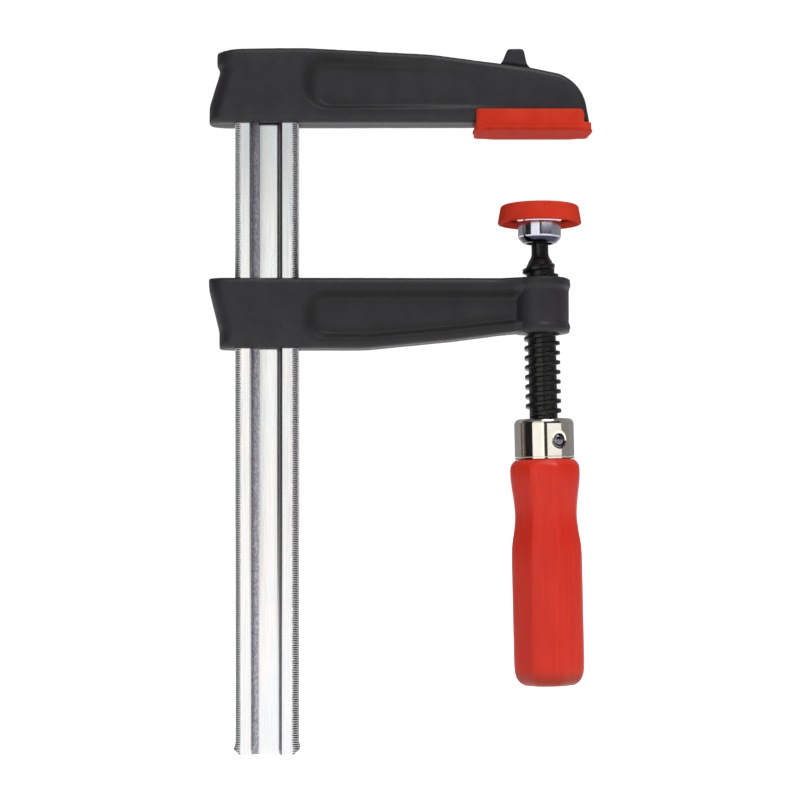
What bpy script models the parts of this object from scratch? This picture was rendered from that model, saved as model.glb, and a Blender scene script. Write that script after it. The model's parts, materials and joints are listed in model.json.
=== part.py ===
"""An F-clamp: rail, fixed arm, sliding arm, and a screw spindle with a swivelling plate and a wooden handle.

Units are metres. The origin is where the spindle's axis meets the clamping face of the fixed arm's cap.
+X points away from the rail, +Z runs along the rail towards the fixed arm, and Y = 0 is the plane of
symmetry.
"""

import math

import bmesh
import bpy
from mathutils import Vector

MM = 0.001
GAP = 0.3 * MM  # left between two pieces that touch

# Rail: a rolled bar with a channel in each face
RAIL_X = -112.1 * MM
RAIL_WIDTH = 26.3 * MM
RAIL_DEPTH = 12.0 * MM
RAIL_TOP = 30.0 * MM
RAIL_BOTTOM = -256.8 * MM
RAIL_BEVEL = 2.0 * MM  # the strips along the four corners that carry the serrations
CHANNEL_WIDTH = 12.5 * MM
CHANNEL_DEPTH = 2.8 * MM
STOP_HEIGHT = 3.0 * MM  # the end is upset over this height, so the sliding arm can't come off
STOP_BULGE = 0.5 * MM
END_CHAMFER = 2.0 * MM

# Arms: malleable iron castings, slightly thicker at the rail than at the jaw
ARM_HALF_AT_RAIL = 10.0 * MM
ARM_HALF_AT_NOSE = 8.3 * MM
ARM_HEEL_X = -136.5 * MM
ARM_NOSE_X = 21.5 * MM
CAST_ROUNDING = 1.8 * MM
RECESS_DEPTH = 4.0 * MM
RECESS_FILLET = 2.8 * MM
FIXED_RECESS_RISE = 3.9 * MM  # the fixed arm's recess fades out towards the jaw
WINDOW_PLAY = 0.4 * MM  # all round the rail, in the sliding arm
HEEL_RADIUS = 8.5 * MM  # of the arms' ends behind the rail, seen from above

# Fixed arm, in world coordinates
FIXED_ARM_BOTTOM = 3.8 * MM

# Cap under the fixed arm's jaw: a floor with a flange round it and a wall on each side that grips the
# casting. Its lower face is the clamping face at Z = 0.
CAP_X = (-26.9 * MM, 22.7 * MM)
CAP_WIDTH = 25.0 * MM
CAP_FLANGE = 1.5 * MM
CAP_FLOOR_X = (-26.1 * MM, 21.6 * MM)
CAP_WALL_END = 18.5 * MM
CAP_BODY_WIDTH = 21.2 * MM
CAP_WALL_TOP = 9.0 * MM

# Sliding arm; its outline is measured from its own top face
SLIDING_ARM_TOP = -60.0 * MM
BOSS_X = 1.4 * MM
BOSS_HEIGHT = 22.7 * MM

# Spindle: its axis leans, so that the plate meets the work squarely once the arm has tipped under load.
# Heights along it are measured from the centre of its ball.
LEAN = math.radians(1.3)
BALL_CENTRE_Z = -39.6 * MM
BALL_RADIUS = 5.2 * MM
NECK_RADIUS = 3.5 * MM
CORE_RADIUS = 5.8 * MM
TANG_RADIUS = 4.8 * MM
TANG_BOTTOM = -128.0 * MM
PITCH = 4.0 * MM
CREST_RADIUS = 7.4 * MM
CREST_WIDTH = 1.46 * MM
FLANK_ANGLE = math.radians(15)
THREAD_SEGMENTS = 16  # per turn
THREAD_TOP = -14.6 * MM
THREAD_BOTTOM = -77.4 * MM
CREST_PHASE = -51.0 * MM  # a height where the crest crosses the +X side
THREAD_RADIAL_PLAY = 0.3 * MM
THREAD_FLANK_PLAY = 0.2 * MM

# Snap ring in a groove round the ball
RING_RADIUS = 5.3 * MM
RING_WIRE_RADIUS = 0.5 * MM
RING_OPENING = math.radians(30)
RING_GROOVE_RADIUS = 4.5 * MM
RING_GROOVE_HALF = 0.75 * MM

# Ferrule, handle and the pin through them
FERRULE_RADIUS = 12.3 * MM
FERRULE_WALL = 1.1 * MM
FERRULE_TOP = -78.4 * MM
FERRULE_BOTTOM = -95.1 * MM
HANDLE_BOTTOM = -188.6 * MM
HANDLE_SIDES = 8
HANDLE_POINTS_PER_SIDE = 4
HANDLE_SOFTNESS = 1.045  # an edge stands this far out, over the flat beside it
HANDLE_TURN = math.radians(-118)  # direction of one of the handle's long edges
PIN_HEIGHT = -87.4 * MM
PIN_RADIUS = 1.7 * MM
PIN_TURN = math.radians(-63)
PIN_HOLE_IN_FERRULE = 2.9 * MM

TURNED_STEPS = 40
ARC_STEP = math.radians(15)


def clear_scene():
    for old in list(bpy.data.objects):
        bpy.data.objects.remove(old, do_unlink=True)
    parts = bpy.data.collections.new("f_clamp")
    cutters = bpy.data.collections.new("cutters")
    bpy.context.scene.collection.children.link(parts)
    bpy.context.scene.collection.children.link(cutters)
    return parts, cutters


PARTS, CUTTERS = clear_scene()


# Materials


def principled(name, colour, roughness, metallic):
    material = bpy.data.materials.new(name)
    material.use_nodes = True
    shader = material.node_tree.nodes["Principled BSDF"]
    shader.inputs["Base Color"].default_value = (*colour, 1.0)
    shader.inputs["Roughness"].default_value = roughness
    shader.inputs["Metallic"].default_value = metallic
    return material


def zinc_plated():
    return principled("zinc_plated_steel", (0.78, 0.79, 0.80), 0.28, 1.0)


def painted_casting():
    return principled("painted_casting", (0.042, 0.040, 0.042), 0.5, 0.0)


def black_oxide():
    return principled("black_oxide_steel", (0.014, 0.013, 0.013), 0.4, 0.6)


def polished_nickel():
    return principled("polished_nickel", (0.75, 0.72, 0.68), 0.1, 1.0)


def red_plastic():
    return principled("red_plastic", (0.66, 0.032, 0.02), 0.4, 0.0)


def red_lacquer():
    return principled("red_lacquered_wood", (0.62, 0.025, 0.015), 0.3, 0.0)


def spring_wire():
    return principled("spring_wire", (0.35, 0.34, 0.33), 0.35, 1.0)


# Helpers


def link(piece, collection, parent=None, location=(0, 0, 0), rotation=(0, 0, 0)):
    collection.objects.link(piece)
    piece.parent = parent
    piece.location = location
    piece.rotation_euler = rotation
    return piece


def empty(name, location, rotation=(0, 0, 0)):
    return link(bpy.data.objects.new(name, None), PARTS, None, location, rotation)


def finish(piece, material, sharp_angle=35):
    """Gives a piece its material and smooth shading, and makes it a part."""
    piece.data.materials.clear()
    piece.data.materials.append(material)
    piece.data.shade_smooth()
    piece.data.set_sharp_from_angle(angle=math.radians(sharp_angle))
    return piece


def as_cutter(piece):
    for collection in list(piece.users_collection):
        collection.objects.unlink(piece)
    CUTTERS.objects.link(piece)
    piece.hide_render = True
    piece.display_type = "WIRE"
    return piece


def boolean(piece, other, operation="DIFFERENCE"):
    modifier = piece.modifiers.new(other.name, "BOOLEAN")
    modifier.operation = operation
    modifier.object = as_cutter(other)
    return piece


def bevel(piece, width, segments=2, angle=40):
    modifier = piece.modifiers.new("rounding", "BEVEL")
    modifier.width = width
    modifier.segments = segments
    modifier.limit_method = "ANGLE"
    modifier.angle_limit = math.radians(angle)
    return piece


def mirrored_y(piece):
    modifier = piece.modifiers.new("both_sides", "MIRROR")
    modifier.use_axis = (False, True, False)
    modifier.merge_threshold = 0.01 * MM
    return piece


def rounded_outline(corners):
    """Outline points through corners (x, y, radius) in millimetres, each rounded by an arc of its radius."""
    points = []
    for i, (x, y, radius) in enumerate(corners):
        corner = Vector((x, y))
        to_last = (Vector(corners[i - 1][:2]) - corner).normalized()
        to_next = (Vector(corners[(i + 1) % len(corners)][:2]) - corner).normalized()
        turn = math.pi - to_last.angle(to_next)
        if radius == 0:
            points.append(corner * MM)
            continue
        centre = corner + (to_last + to_next).normalized() * radius / math.cos(turn / 2)
        spoke = corner + to_last * radius * math.tan(turn / 2) - centre
        left_or_right = math.copysign(1, to_next.cross(to_last))
        steps = max(1, round(turn / ARC_STEP))
        for step in range(steps + 1):
            angle = left_or_right * turn * step / steps
            turned_spoke = Vector(
                (
                    spoke.x * math.cos(angle) - spoke.y * math.sin(angle),
                    spoke.x * math.sin(angle) + spoke.y * math.cos(angle),
                )
            )
            points.append((centre + turned_spoke) * MM)
    return points


def extruded(name, points, low, high, along="Y"):
    """A flat outline carried from low to high along Y (outline in X, Z) or Z (outline in X, Y)."""
    curve = bpy.data.curves.new(name, "CURVE")
    curve.dimensions = "2D"
    curve.fill_mode = "BOTH"
    curve.extrude = (high - low) / 2
    spline = curve.splines.new("POLY")
    spline.points.add(len(points) - 1)
    for point, (x, y) in zip(spline.points, points):
        point.co = (x, y, 0, 1)
    spline.use_cyclic_u = True
    guide = bpy.data.objects.new(name + "_outline", curve)
    middle = (low + high) / 2
    if along == "Y":
        link(guide, PARTS, None, (0, middle, 0), (math.pi / 2, 0, 0))
    else:
        link(guide, PARTS, None, (0, 0, middle))
    return mesh_from_curve(name, guide)


def mesh_from_curve(name, guide):
    """A mesh object with a curve object's shape and its caps welded on. The curve is removed."""
    bpy.context.view_layer.update()
    evaluated = guide.evaluated_get(bpy.context.evaluated_depsgraph_get())
    mesh = bpy.data.meshes.new_from_object(evaluated)
    mesh.name = name
    mesh.transform(guide.matrix_world)
    edit = bmesh.new()
    edit.from_mesh(mesh)
    bmesh.ops.remove_doubles(edit, verts=edit.verts, dist=0.001 * MM)
    bmesh.ops.recalc_face_normals(edit, faces=edit.faces)
    edit.to_mesh(mesh)
    edit.free()
    bpy.data.objects.remove(guide, do_unlink=True)
    return bpy.data.objects.new(name, mesh)


def turned(name, profile, closed, steps=TURNED_STEPS):
    """A turned object: (radius, height) points in millimetres, down the outer side, swept round Z."""
    vertices = [(radius * MM, 0, height * MM) for radius, height in profile]
    edges = [(i, i + 1) for i in range(len(profile) - 1)]
    if closed:
        edges.append((len(profile) - 1, 0))
    mesh = bpy.data.meshes.new(name)
    mesh.from_pydata(vertices, edges, [])
    piece = bpy.data.objects.new(name, mesh)
    modifier = piece.modifiers.new("turn", "SCREW")
    modifier.steps = steps
    modifier.render_steps = steps
    modifier.use_merge_vertices = True
    modifier.merge_threshold = 0.001 * MM
    return piece


def cylinder(name, radius, low, high, segments=32):
    """A cylinder along Z between two heights."""
    mesh = bpy.data.meshes.new(name)
    edit = bmesh.new()
    bmesh.ops.create_cone(
        edit,
        cap_ends=True,
        segments=segments,
        radius1=radius,
        radius2=radius,
        depth=high - low,
    )
    bmesh.ops.translate(edit, verts=edit.verts, vec=(0, 0, (low + high) / 2))
    edit.to_mesh(mesh)
    edit.free()
    return bpy.data.objects.new(name, mesh)


def add_loop(edit, point, normal):
    """Cuts an edge loop into a mesh where a plane crosses it."""
    geometry = edit.verts[:] + edit.edges[:] + edit.faces[:]
    bmesh.ops.bisect_plane(edit, geom=geometry, plane_co=point, plane_no=normal, dist=1e-7)


def box(name, low, high):
    mesh = bpy.data.meshes.new(name)
    edit = bmesh.new()
    bmesh.ops.create_cube(edit, size=1)
    size = Vector(high) - Vector(low)
    bmesh.ops.scale(edit, verts=edit.verts, vec=size)
    bmesh.ops.translate(edit, verts=edit.verts, vec=(Vector(low) + Vector(high)) / 2)
    edit.to_mesh(mesh)
    edit.free()
    return bpy.data.objects.new(name, mesh)


def arc_points(centre, radius, start, end, steps):
    """(radius, height) points on an arc in a turned profile, angles in degrees from straight out."""
    angles = [math.radians(start + (end - start) * i / steps) for i in range(steps + 1)]
    return [(centre[0] + radius * math.cos(a), centre[1] + radius * math.sin(a)) for a in angles]


# Rail


def rail_section():
    """One quarter of the section from its outer edge to the middle of the channel, then mirrored twice."""
    half_width = RAIL_WIDTH / 2 / MM
    half_depth = RAIL_DEPTH / 2 / MM
    bevel_width = RAIL_BEVEL / MM
    channel = CHANNEL_WIDTH / 2 / MM
    floor = half_depth - CHANNEL_DEPTH / MM
    quarter = [
        (half_width, half_depth - 1.1 * bevel_width),
        (half_width - bevel_width, half_depth),
        (channel, half_depth),
        (channel - 0.9, floor + 1.1),
        (channel - 1.9, floor + 0.4),
        (channel - 3.4, floor),
    ]
    upper = quarter + [(-x, y) for x, y in reversed(quarter)]
    lower = [(x, -y) for x, y in reversed(upper)]
    return [Vector(point) * MM for point in upper + lower]


def rail():
    piece = extruded("rail", rail_section(), RAIL_BOTTOM, RAIL_TOP, along="Z")
    edit = bmesh.new()
    edit.from_mesh(piece.data)
    chamfer_start = RAIL_BOTTOM + END_CHAMFER
    for height in (chamfer_start + STOP_HEIGHT, chamfer_start):
        add_loop(edit, (0, 0, height), (0, 0, 1))
    edge = RAIL_WIDTH / 2 - 0.1 * MM
    for vertex in edit.verts:
        if abs(vertex.co.x) < edge:
            continue
        outwards = math.copysign(1, vertex.co.x)
        if abs(vertex.co.z - chamfer_start) < 0.1 * MM:
            vertex.co.x += outwards * STOP_BULGE
        if vertex.co.z < RAIL_BOTTOM + 0.1 * MM:
            vertex.co.x -= outwards * (RAIL_BEVEL - 0.2 * MM)
    edit.to_mesh(piece.data)
    edit.free()
    link(piece, PARTS, None, (RAIL_X, 0, 0))
    return finish(piece, zinc_plated())


def rail_hole(name, play, bottom, top, parent=None):
    """The rail's rectangle with some play all round, as a cutter."""
    half_width = RAIL_WIDTH / 2 + play
    half_depth = RAIL_DEPTH / 2 + play
    cutter = box(name, (-half_width, -half_depth, bottom), (half_width, half_depth, top))
    return link(cutter, CUTTERS, parent, (RAIL_X, 0, 0))


# Castings


def arm_half_thickness(x):
    share = (x - ARM_HEEL_X) / (ARM_NOSE_X - ARM_HEEL_X)
    return ARM_HALF_AT_RAIL + share * (ARM_HALF_AT_NOSE - ARM_HALF_AT_RAIL)


def arm_plate(name, corners):
    """An arm's side outline as a plate that tapers from the rail to the jaw, with rounded edges."""
    piece = extruded(name, rounded_outline(corners), -1, 1)
    for vertex in piece.data.vertices:
        vertex.co.y *= arm_half_thickness(vertex.co.x)
    return bevel(piece, CAST_ROUNDING, segments=3)


def heel_cutter(name, low, high, parent):
    """Rounds the corners of an arm's heel, whose back leans along the line from low to high in (x, z)."""
    radius = HEEL_RADIUS / MM
    corner_x, corner_y = low[0], ARM_HALF_AT_RAIL / MM
    outline = arc_points((corner_x + radius, corner_y - radius), radius + 0.3, 180, 90, 6)
    outline += [
        (corner_x + radius, corner_y + 3),
        (corner_x - 3, corner_y + 3),
        (corner_x - 3, corner_y - radius),
    ]
    outline = [Vector(point) * MM for point in outline]
    cutter = extruded(name, outline, (low[1] - 10) * MM, (high[1] + 10) * MM, along="Z")
    lean = (high[0] - low[0]) / (high[1] - low[1])
    for vertex in cutter.data.vertices:
        vertex.co.x += lean * (vertex.co.z - low[1] * MM)
    mirrored_y(cutter)
    return link(cutter, CUTTERS, parent)


def recess_cutter(name, corners, parent, shallow_end=0.0):
    """The long hollow in an arm's sides; its floor rises evenly by shallow_end towards the jaw."""
    floor = ARM_HALF_AT_NOSE - RECESS_DEPTH
    cutter = extruded(name, rounded_outline(corners), floor, ARM_HALF_AT_RAIL + 4 * MM)
    left = min(vertex.co.x for vertex in cutter.data.vertices)
    right = max(vertex.co.x for vertex in cutter.data.vertices)
    for vertex in cutter.data.vertices:
        vertex.co.y += shallow_end * (vertex.co.x - left) / (right - left)
    bevel(cutter, RECESS_FILLET, segments=3, angle=50)
    mirrored_y(cutter)
    return link(cutter, CUTTERS, parent)


FIXED_ARM_CORNERS = [
    (-132.6, 33.0, 2.0),
    (-126.6, 34.5, 12.0),
    (-96.6, 34.9, 80.0),
    (-44.6, 32.2, 80.0),
    (-3.6, 27.0, 60.0),
    (8.4, 24.4, 4.0),
    (18.2, 20.6, 17.0),
    (21.3, FIXED_ARM_BOTTOM / MM, 2.0),
    (-135.8, FIXED_ARM_BOTTOM / MM, 2.0),
    (-135.7, 11.0, 10.0),
    (-131.3, 25.8, 3.0),
    (-132.6, 28.2, 2.5),
]
LUG_CORNERS = [
    (-20.0, 24.0, 0),
    (-16.2, 29.4, 3.0),
    (-13.1, 34.7, 1.4),
    (-5.9, 34.7, 1.4),
    (-4.4, 28.4, 3.0),
    (1.0, 22.0, 0),
]
LUG_HALF_WIDTH = 6.0 * MM
FIXED_RECESS_CORNERS = [
    (-97.6, 31.8, 8.0),
    (-84.6, 31.4, 20.0),
    (-44.6, 29.2, 60.0),
    (-9.6, 24.6, 4.0),
    (-9.6, 9.2, 4.0),
    (-97.6, 9.2, 10.0),
]


def lug():
    piece = extruded("lug", rounded_outline(LUG_CORNERS), -LUG_HALF_WIDTH, LUG_HALF_WIDTH)
    return link(bevel(piece, 1.0 * MM), CUTTERS)


def fixed_arm():
    piece = link(arm_plate("fixed_arm", FIXED_ARM_CORNERS), PARTS)
    boolean(piece, heel_cutter("fixed_heel", (-135.8, 3.8), (-132.4, 33), None))
    boolean(piece, recess_cutter("fixed_recess", FIXED_RECESS_CORNERS, None, FIXED_RECESS_RISE))
    boolean(piece, lug(), "UNION")
    boolean(piece, rail_hole("rail_socket", GAP, FIXED_ARM_BOTTOM - 5 * MM, RAIL_TOP + GAP))
    return finish(piece, painted_casting())


SLIDING_ARM_CORNERS = [
    (-136.5, 0.0, 2.0),
    (BOSS_X / MM, 0.0, 0),
    (BOSS_X / MM, -21.4, 0),
    (-8.6, -22.2, 20.0),
    (-35.6, -25.7, 80.0),
    (-71.6, -29.2, 80.0),
    (-131.8, -29.2, 2.0),
    (-131.8, -22.0, 14.0),
    (-136.3, -5.0, 20.0),
]
SLIDING_RECESS_CORNERS = [
    (-98.2, -4.3, 9.0),
    (-7.1, -4.3, 3.4),
    (-7.1, -19.0, 3.4),
    (-35.6, -22.3, 60.0),
    (-69.6, -25.3, 60.0),
    (-98.2, -25.3, 9.0),
]


def boss(parent):
    """The round end of the sliding arm, with a rim at its top and bottom."""
    height = BOSS_HEIGHT / MM
    body, rim = 11.2, 11.9
    profile = [
        (0, 0.3),
        (rim - 0.6, 0.3),
        (rim, -0.4),
        (rim, -3.4),
        (body, -5.0),
        (body, 4.4 - height),
        (rim - 0.2, 3.0 - height),
        (rim - 0.2, 0.6 - height),
        (rim - 0.8, -height),
        (0, -height),
    ]
    return link(turned("boss", profile, closed=False), CUTTERS, parent, (BOSS_X, 0, 0))


def sliding_arm(parent, axis):
    piece = link(arm_plate("sliding_arm", SLIDING_ARM_CORNERS), PARTS, parent)
    boolean(piece, heel_cutter("sliding_heel", (-131.4, -29.2), (-136.4, 0), parent))
    boolean(piece, recess_cutter("sliding_recess", SLIDING_RECESS_CORNERS, parent))
    boolean(piece, boss(parent), "UNION")
    boolean(piece, rail_hole("rail_window", WINDOW_PLAY, -40 * MM, 10 * MM, parent))
    bore_radius = CORE_RADIUS + THREAD_RADIAL_PLAY
    bore = link(cylinder("bore", bore_radius, -60 * MM, -5 * MM, THREAD_SEGMENTS), CUTTERS, axis)
    boolean(piece, bore)
    boolean(piece, link(nut_thread(), CUTTERS, axis))
    return finish(piece, painted_casting())


# Fixed arm's cap


def rounded_rectangle(x_range, width, radius):
    low, high = (value / MM for value in x_range)
    half = width / 2 / MM
    corners = [(low, -half), (high, -half), (high, half), (low, half)]
    return rounded_outline([(x, y, radius) for x, y in corners])


def fixed_arm_cap():
    flange = extruded("fixed_arm_cap", rounded_rectangle(CAP_X, CAP_WIDTH, 9), 0, CAP_FLANGE, along="Z")
    link(bevel(flange, 0.5 * MM), PARTS)
    outline = rounded_rectangle(CAP_FLOOR_X, CAP_BODY_WIDTH, 4.5)
    body = extruded("cap_body", outline, 0.2 * MM, CAP_WALL_TOP, along="Z")
    boolean(flange, link(bevel(body, 0.6 * MM), CUTTERS), "UNION")
    inside = arm_half_thickness(CAP_X[0]) + GAP
    floor = FIXED_ARM_BOTTOM - GAP
    top = CAP_WALL_TOP + 5 * MM
    passage = box("arm_passage", (-40 * MM, -inside, floor), (40 * MM, inside, top))
    boolean(flange, link(passage, CUTTERS))
    nose_end = box("nose_end", (CAP_WALL_END, -CAP_WIDTH, floor), (40 * MM, CAP_WIDTH, top))
    boolean(flange, link(nose_end, CUTTERS))
    return finish(flange, red_plastic())


# Spindle, in the frame of its axis


def thread_ridge(name, inner, outer, inner_width, outer_width, bottom, top, fade_turns):
    """A ridge of trapezoid section wound up a right-hand helix, fading out over fade_turns at each end."""
    first = math.ceil((bottom - CREST_PHASE) / PITCH * THREAD_SEGMENTS)
    last = math.floor((top - CREST_PHASE) / PITCH * THREAD_SEGMENTS)
    edit = bmesh.new()
    rings = []
    for index in range(first, last + 1):
        turns = index / THREAD_SEGMENTS
        angle = 2 * math.pi * turns
        height = CREST_PHASE + PITCH * turns
        to_end = min(index - first, last - index) / THREAD_SEGMENTS
        share = 1.0 if fade_turns == 0 else min(1.0, 0.03 + to_end / fade_turns)
        crest = inner + (outer - inner) * share
        corners = (
            (inner, height - inner_width / 2),
            (crest, height - outer_width / 2),
            (crest, height + outer_width / 2),
            (inner, height + inner_width / 2),
        )
        rings.append([edit.verts.new((r * math.cos(angle), r * math.sin(angle), z)) for r, z in corners])
    for lower, upper in zip(rings, rings[1:]):
        for i in range(4):
            j = (i + 1) % 4
            edit.faces.new((lower[i], lower[j], upper[j], upper[i]))
    edit.faces.new(rings[0])
    edit.faces.new(reversed(rings[-1]))
    bmesh.ops.recalc_face_normals(edit, faces=edit.faces)
    mesh = bpy.data.meshes.new(name)
    edit.to_mesh(mesh)
    edit.free()
    return bpy.data.objects.new(name, mesh)


def ridge_width(radius):
    """The spindle thread's axial width at a radius."""
    return CREST_WIDTH + 2 * (CREST_RADIUS - radius) * math.tan(FLANK_ANGLE)


def spindle_thread():
    inner = CORE_RADIUS - 0.3 * MM
    return thread_ridge(
        "spindle_thread",
        inner,
        CREST_RADIUS,
        ridge_width(inner),
        CREST_WIDTH,
        THREAD_BOTTOM,
        THREAD_TOP,
        fade_turns=0.4,
    )


def nut_thread():
    """The space the spindle's thread turns in, right through the boss."""
    inner = CORE_RADIUS - 0.3 * MM
    outer = CREST_RADIUS + THREAD_RADIAL_PLAY
    play = 2 * THREAD_FLANK_PLAY
    return thread_ridge(
        "nut_thread",
        inner,
        outer,
        ridge_width(inner) + play,
        ridge_width(outer) + play,
        -56 * MM,
        -9 * MM,
        fade_turns=0,
    )


def spindle(axis):
    ball = BALL_RADIUS / MM
    neck = NECK_RADIUS / MM
    core = CORE_RADIUS / MM
    tang = TANG_RADIUS / MM
    groove = RING_GROOVE_RADIUS / MM
    groove_half = RING_GROOVE_HALF / MM
    groove_angle = math.degrees(math.asin(groove_half / ball))
    neck_angle = -math.degrees(math.acos(neck / ball))
    profile = arc_points((0, 0), ball, 90, groove_angle, 6)
    profile += [(groove, groove_half), (groove, -groove_half)]
    profile += arc_points((0, 0), ball, -groove_angle, neck_angle, 4)
    profile += [
        (neck, -10.4),
        (neck + 0.35, -12.2),
        (neck + 1.2, -13.6),
        (core - 0.6, -14.4),
        (core, -15.0),
        (core, FERRULE_TOP / MM - 0.5),
        (tang, FERRULE_TOP / MM - 1.1),
        (tang, TANG_BOTTOM / MM + 0.8),
        (tang - 0.8, TANG_BOTTOM / MM),
        (0, TANG_BOTTOM / MM),
    ]
    profile[0] = (0, ball)
    piece = link(turned("spindle", profile, closed=False, steps=THREAD_SEGMENTS), PARTS, axis)
    boolean(piece, link(spindle_thread(), CUTTERS, axis), "UNION")
    boolean(piece, pin_hole("spindle_pin_hole", PIN_RADIUS + GAP, axis))
    return finish(piece, black_oxide())


def snap_ring(axis):
    """A split wire ring in the ball's groove; it stands out into the plate's wider groove."""
    curve = bpy.data.curves.new("snap_ring", "CURVE")
    curve.dimensions = "3D"
    curve.bevel_depth = RING_WIRE_RADIUS
    curve.bevel_resolution = 1
    curve.use_fill_caps = True
    count = 28
    spline = curve.splines.new("POLY")
    spline.points.add(count - 1)
    for index, point in enumerate(spline.points):
        angle = RING_OPENING / 2 + (2 * math.pi - RING_OPENING) * index / (count - 1)
        point.co = (RING_RADIUS * math.cos(angle), RING_RADIUS * math.sin(angle), 0, 1)
    guide = link(bpy.data.objects.new("snap_ring_wire", curve), PARTS)
    return finish(link(mesh_from_curve("snap_ring", guide), PARTS, axis), spring_wire(), 50)


# Pressure plate and its cap; level, so in the frame of the plate's pivot


def pressure_plate(pivot):
    """A disc over a collar whose socket takes the ball and, half way up, the snap ring."""
    profile = [
        (0, 7.8),
        (15.0, 7.8),
        (15.4, 7.4),
        (15.4, 5.9),
        (15.0, 5.5),
        (12.0, 5.3),
        (10.4, 4.4),
        (9.4, 2.9),
        (8.8, 1.4),
        (8.8, -3.0),
        (8.3, -4.0),
        (7.1, -5.2),
        (6.6, -5.6),
        (5.5, -5.7),
        (5.5, -1.5),
        (6.3, -1.5),
        (6.3, 1.5),
        (5.5, 1.5),
        (5.5, 3.6),
        (4.0, 5.1),
        (2.4, 5.5),
        (0, 5.5),
    ]
    piece = link(turned("pressure_plate", profile, closed=False), PARTS, pivot)
    return finish(piece, zinc_plated())


def pressure_plate_cap(pivot):
    """A plastic cap that snaps over the plate's disc; its flat top is the clamping face."""
    profile = [
        (0, 10.1),
        (15.2, 10.1),
        (16.0, 9.8),
        (16.4, 9.1),
        (17.3, 2.9),
        (17.1, 2.5),
        (16.7, 2.4),
        (16.2, 2.4),
        (14.9, 4.1),
        (14.9, 4.8),
        (15.7, 5.3),
        (15.7, 8.1),
        (0, 8.1),
    ]
    piece = link(turned("pressure_plate_cap", profile, closed=False), PARTS, pivot)
    return finish(piece, red_plastic())


# Ferrule, handle and pin, in the frame of the spindle's axis


def pin_hole(name, radius, axis):
    cutter = cylinder(name, radius, -20 * MM, 20 * MM, 24)
    return link(cutter, CUTTERS, axis, (0, 0, PIN_HEIGHT), (0, math.pi / 2, PIN_TURN))


def ferrule(axis):
    """A drawn cup, open below, with a shallow line rolled in above its lower edge."""
    outside = FERRULE_RADIUS / MM
    inside = outside - FERRULE_WALL / MM
    hole = (CORE_RADIUS + GAP) / MM
    top = FERRULE_TOP / MM
    bottom = FERRULE_BOTTOM / MM
    roof = top - FERRULE_WALL / MM
    profile = [(hole, top)]
    profile += arc_points((outside - 2.4, top - 2.4), 2.4, 90, 0, 4)
    profile += [
        (outside, bottom + 1.9),
        (outside - 0.3, bottom + 1.6),
        (outside, bottom + 1.3),
        (outside, bottom),
        (inside, bottom),
    ]
    profile += arc_points((inside - 1.3, roof - 1.3), 1.3, 0, 90, 2)
    profile += [(hole, roof)]
    piece = link(turned("ferrule", profile, closed=True), PARTS, axis)
    boolean(piece, pin_hole("ferrule_pin_hole", PIN_HOLE_IN_FERRULE, axis))
    return finish(piece, polished_nickel())


def section_radius(angle, flat, facets):
    """Radius of a rounded polygon with one edge at angle 0; facets runs from 0, a circle, to 1."""
    side = 2 * math.pi / HANDLE_SIDES
    from_flat = (angle % side) - side / 2
    faceted = min(flat / math.cos(from_flat), flat * HANDLE_SOFTNESS)
    return flat + facets * (faceted - flat)


# Height, radius to the flats (both in millimetres) and how faceted the section is
HANDLE_SECTIONS = [
    (-79.8, 9.3, 0.0),
    (-81.4, 10.9, 0.0),
    (-95.4, 10.9, 0.0),
    (-95.4, 12.3, 0.0),
    (-96.2, 13.0, 0.3),
    (-97.6, 13.9, 0.7),
    (-99.4, 14.4, 1.0),
    (-104.0, 14.3, 1.0),
    (-112.5, 13.2, 1.0),
    (-119.3, 12.7, 1.0),
    (-124.5, 13.3, 1.0),
    (-130.5, 14.4, 1.0),
    (-134.0, 14.6, 1.0),
    (-182.5, 14.6, 1.0),
    (-185.3, 13.9, 1.0),
    (-187.3, 12.6, 1.0),
    (HANDLE_BOTTOM / MM, 10.8, 0.9),
]


def handle(axis):
    """Eight soft-edged sides lofted from a round tenon down to the handle's end, then bored for the tang."""
    count = HANDLE_SIDES * HANDLE_POINTS_PER_SIDE
    edit = bmesh.new()
    rings = []
    for height, flat, facets in HANDLE_SECTIONS:
        ring = []
        for index in range(count):
            angle = 2 * math.pi * index / count
            radius = section_radius(angle, flat * MM, facets)
            ring.append(edit.verts.new((radius * math.cos(angle), radius * math.sin(angle), height * MM)))
        rings.append(ring)
    for upper, lower in zip(rings, rings[1:]):
        for i in range(count):
            j = (i + 1) % count
            edit.faces.new((upper[i], lower[i], lower[j], upper[j]))
    edit.faces.new(rings[0])
    edit.faces.new(reversed(rings[-1]))
    bmesh.ops.recalc_face_normals(edit, faces=edit.faces)
    mesh = bpy.data.meshes.new("handle")
    edit.to_mesh(mesh)
    edit.free()
    piece = link(bpy.data.objects.new("handle", mesh), PARTS, axis, (0, 0, 0), (0, 0, HANDLE_TURN))
    tang_bore = cylinder("tang_bore", TANG_RADIUS + GAP, TANG_BOTTOM - 2 * MM, -70 * MM, 24)
    boolean(piece, link(tang_bore, CUTTERS, axis))
    boolean(piece, pin_hole("handle_pin_hole", PIN_RADIUS + GAP, axis))
    return finish(piece, red_lacquer(), 20)


def handle_pin(axis):
    """A dowel with rounded ends through ferrule, handle and tang."""
    half = FERRULE_RADIUS - 0.1 * MM
    piece = cylinder("handle_pin", PIN_RADIUS, -half, half, 20)
    bevel(piece, 0.6 * MM)
    link(piece, PARTS, axis, (0, 0, PIN_HEIGHT), (0, math.pi / 2, PIN_TURN))
    return finish(piece, black_oxide())


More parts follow.
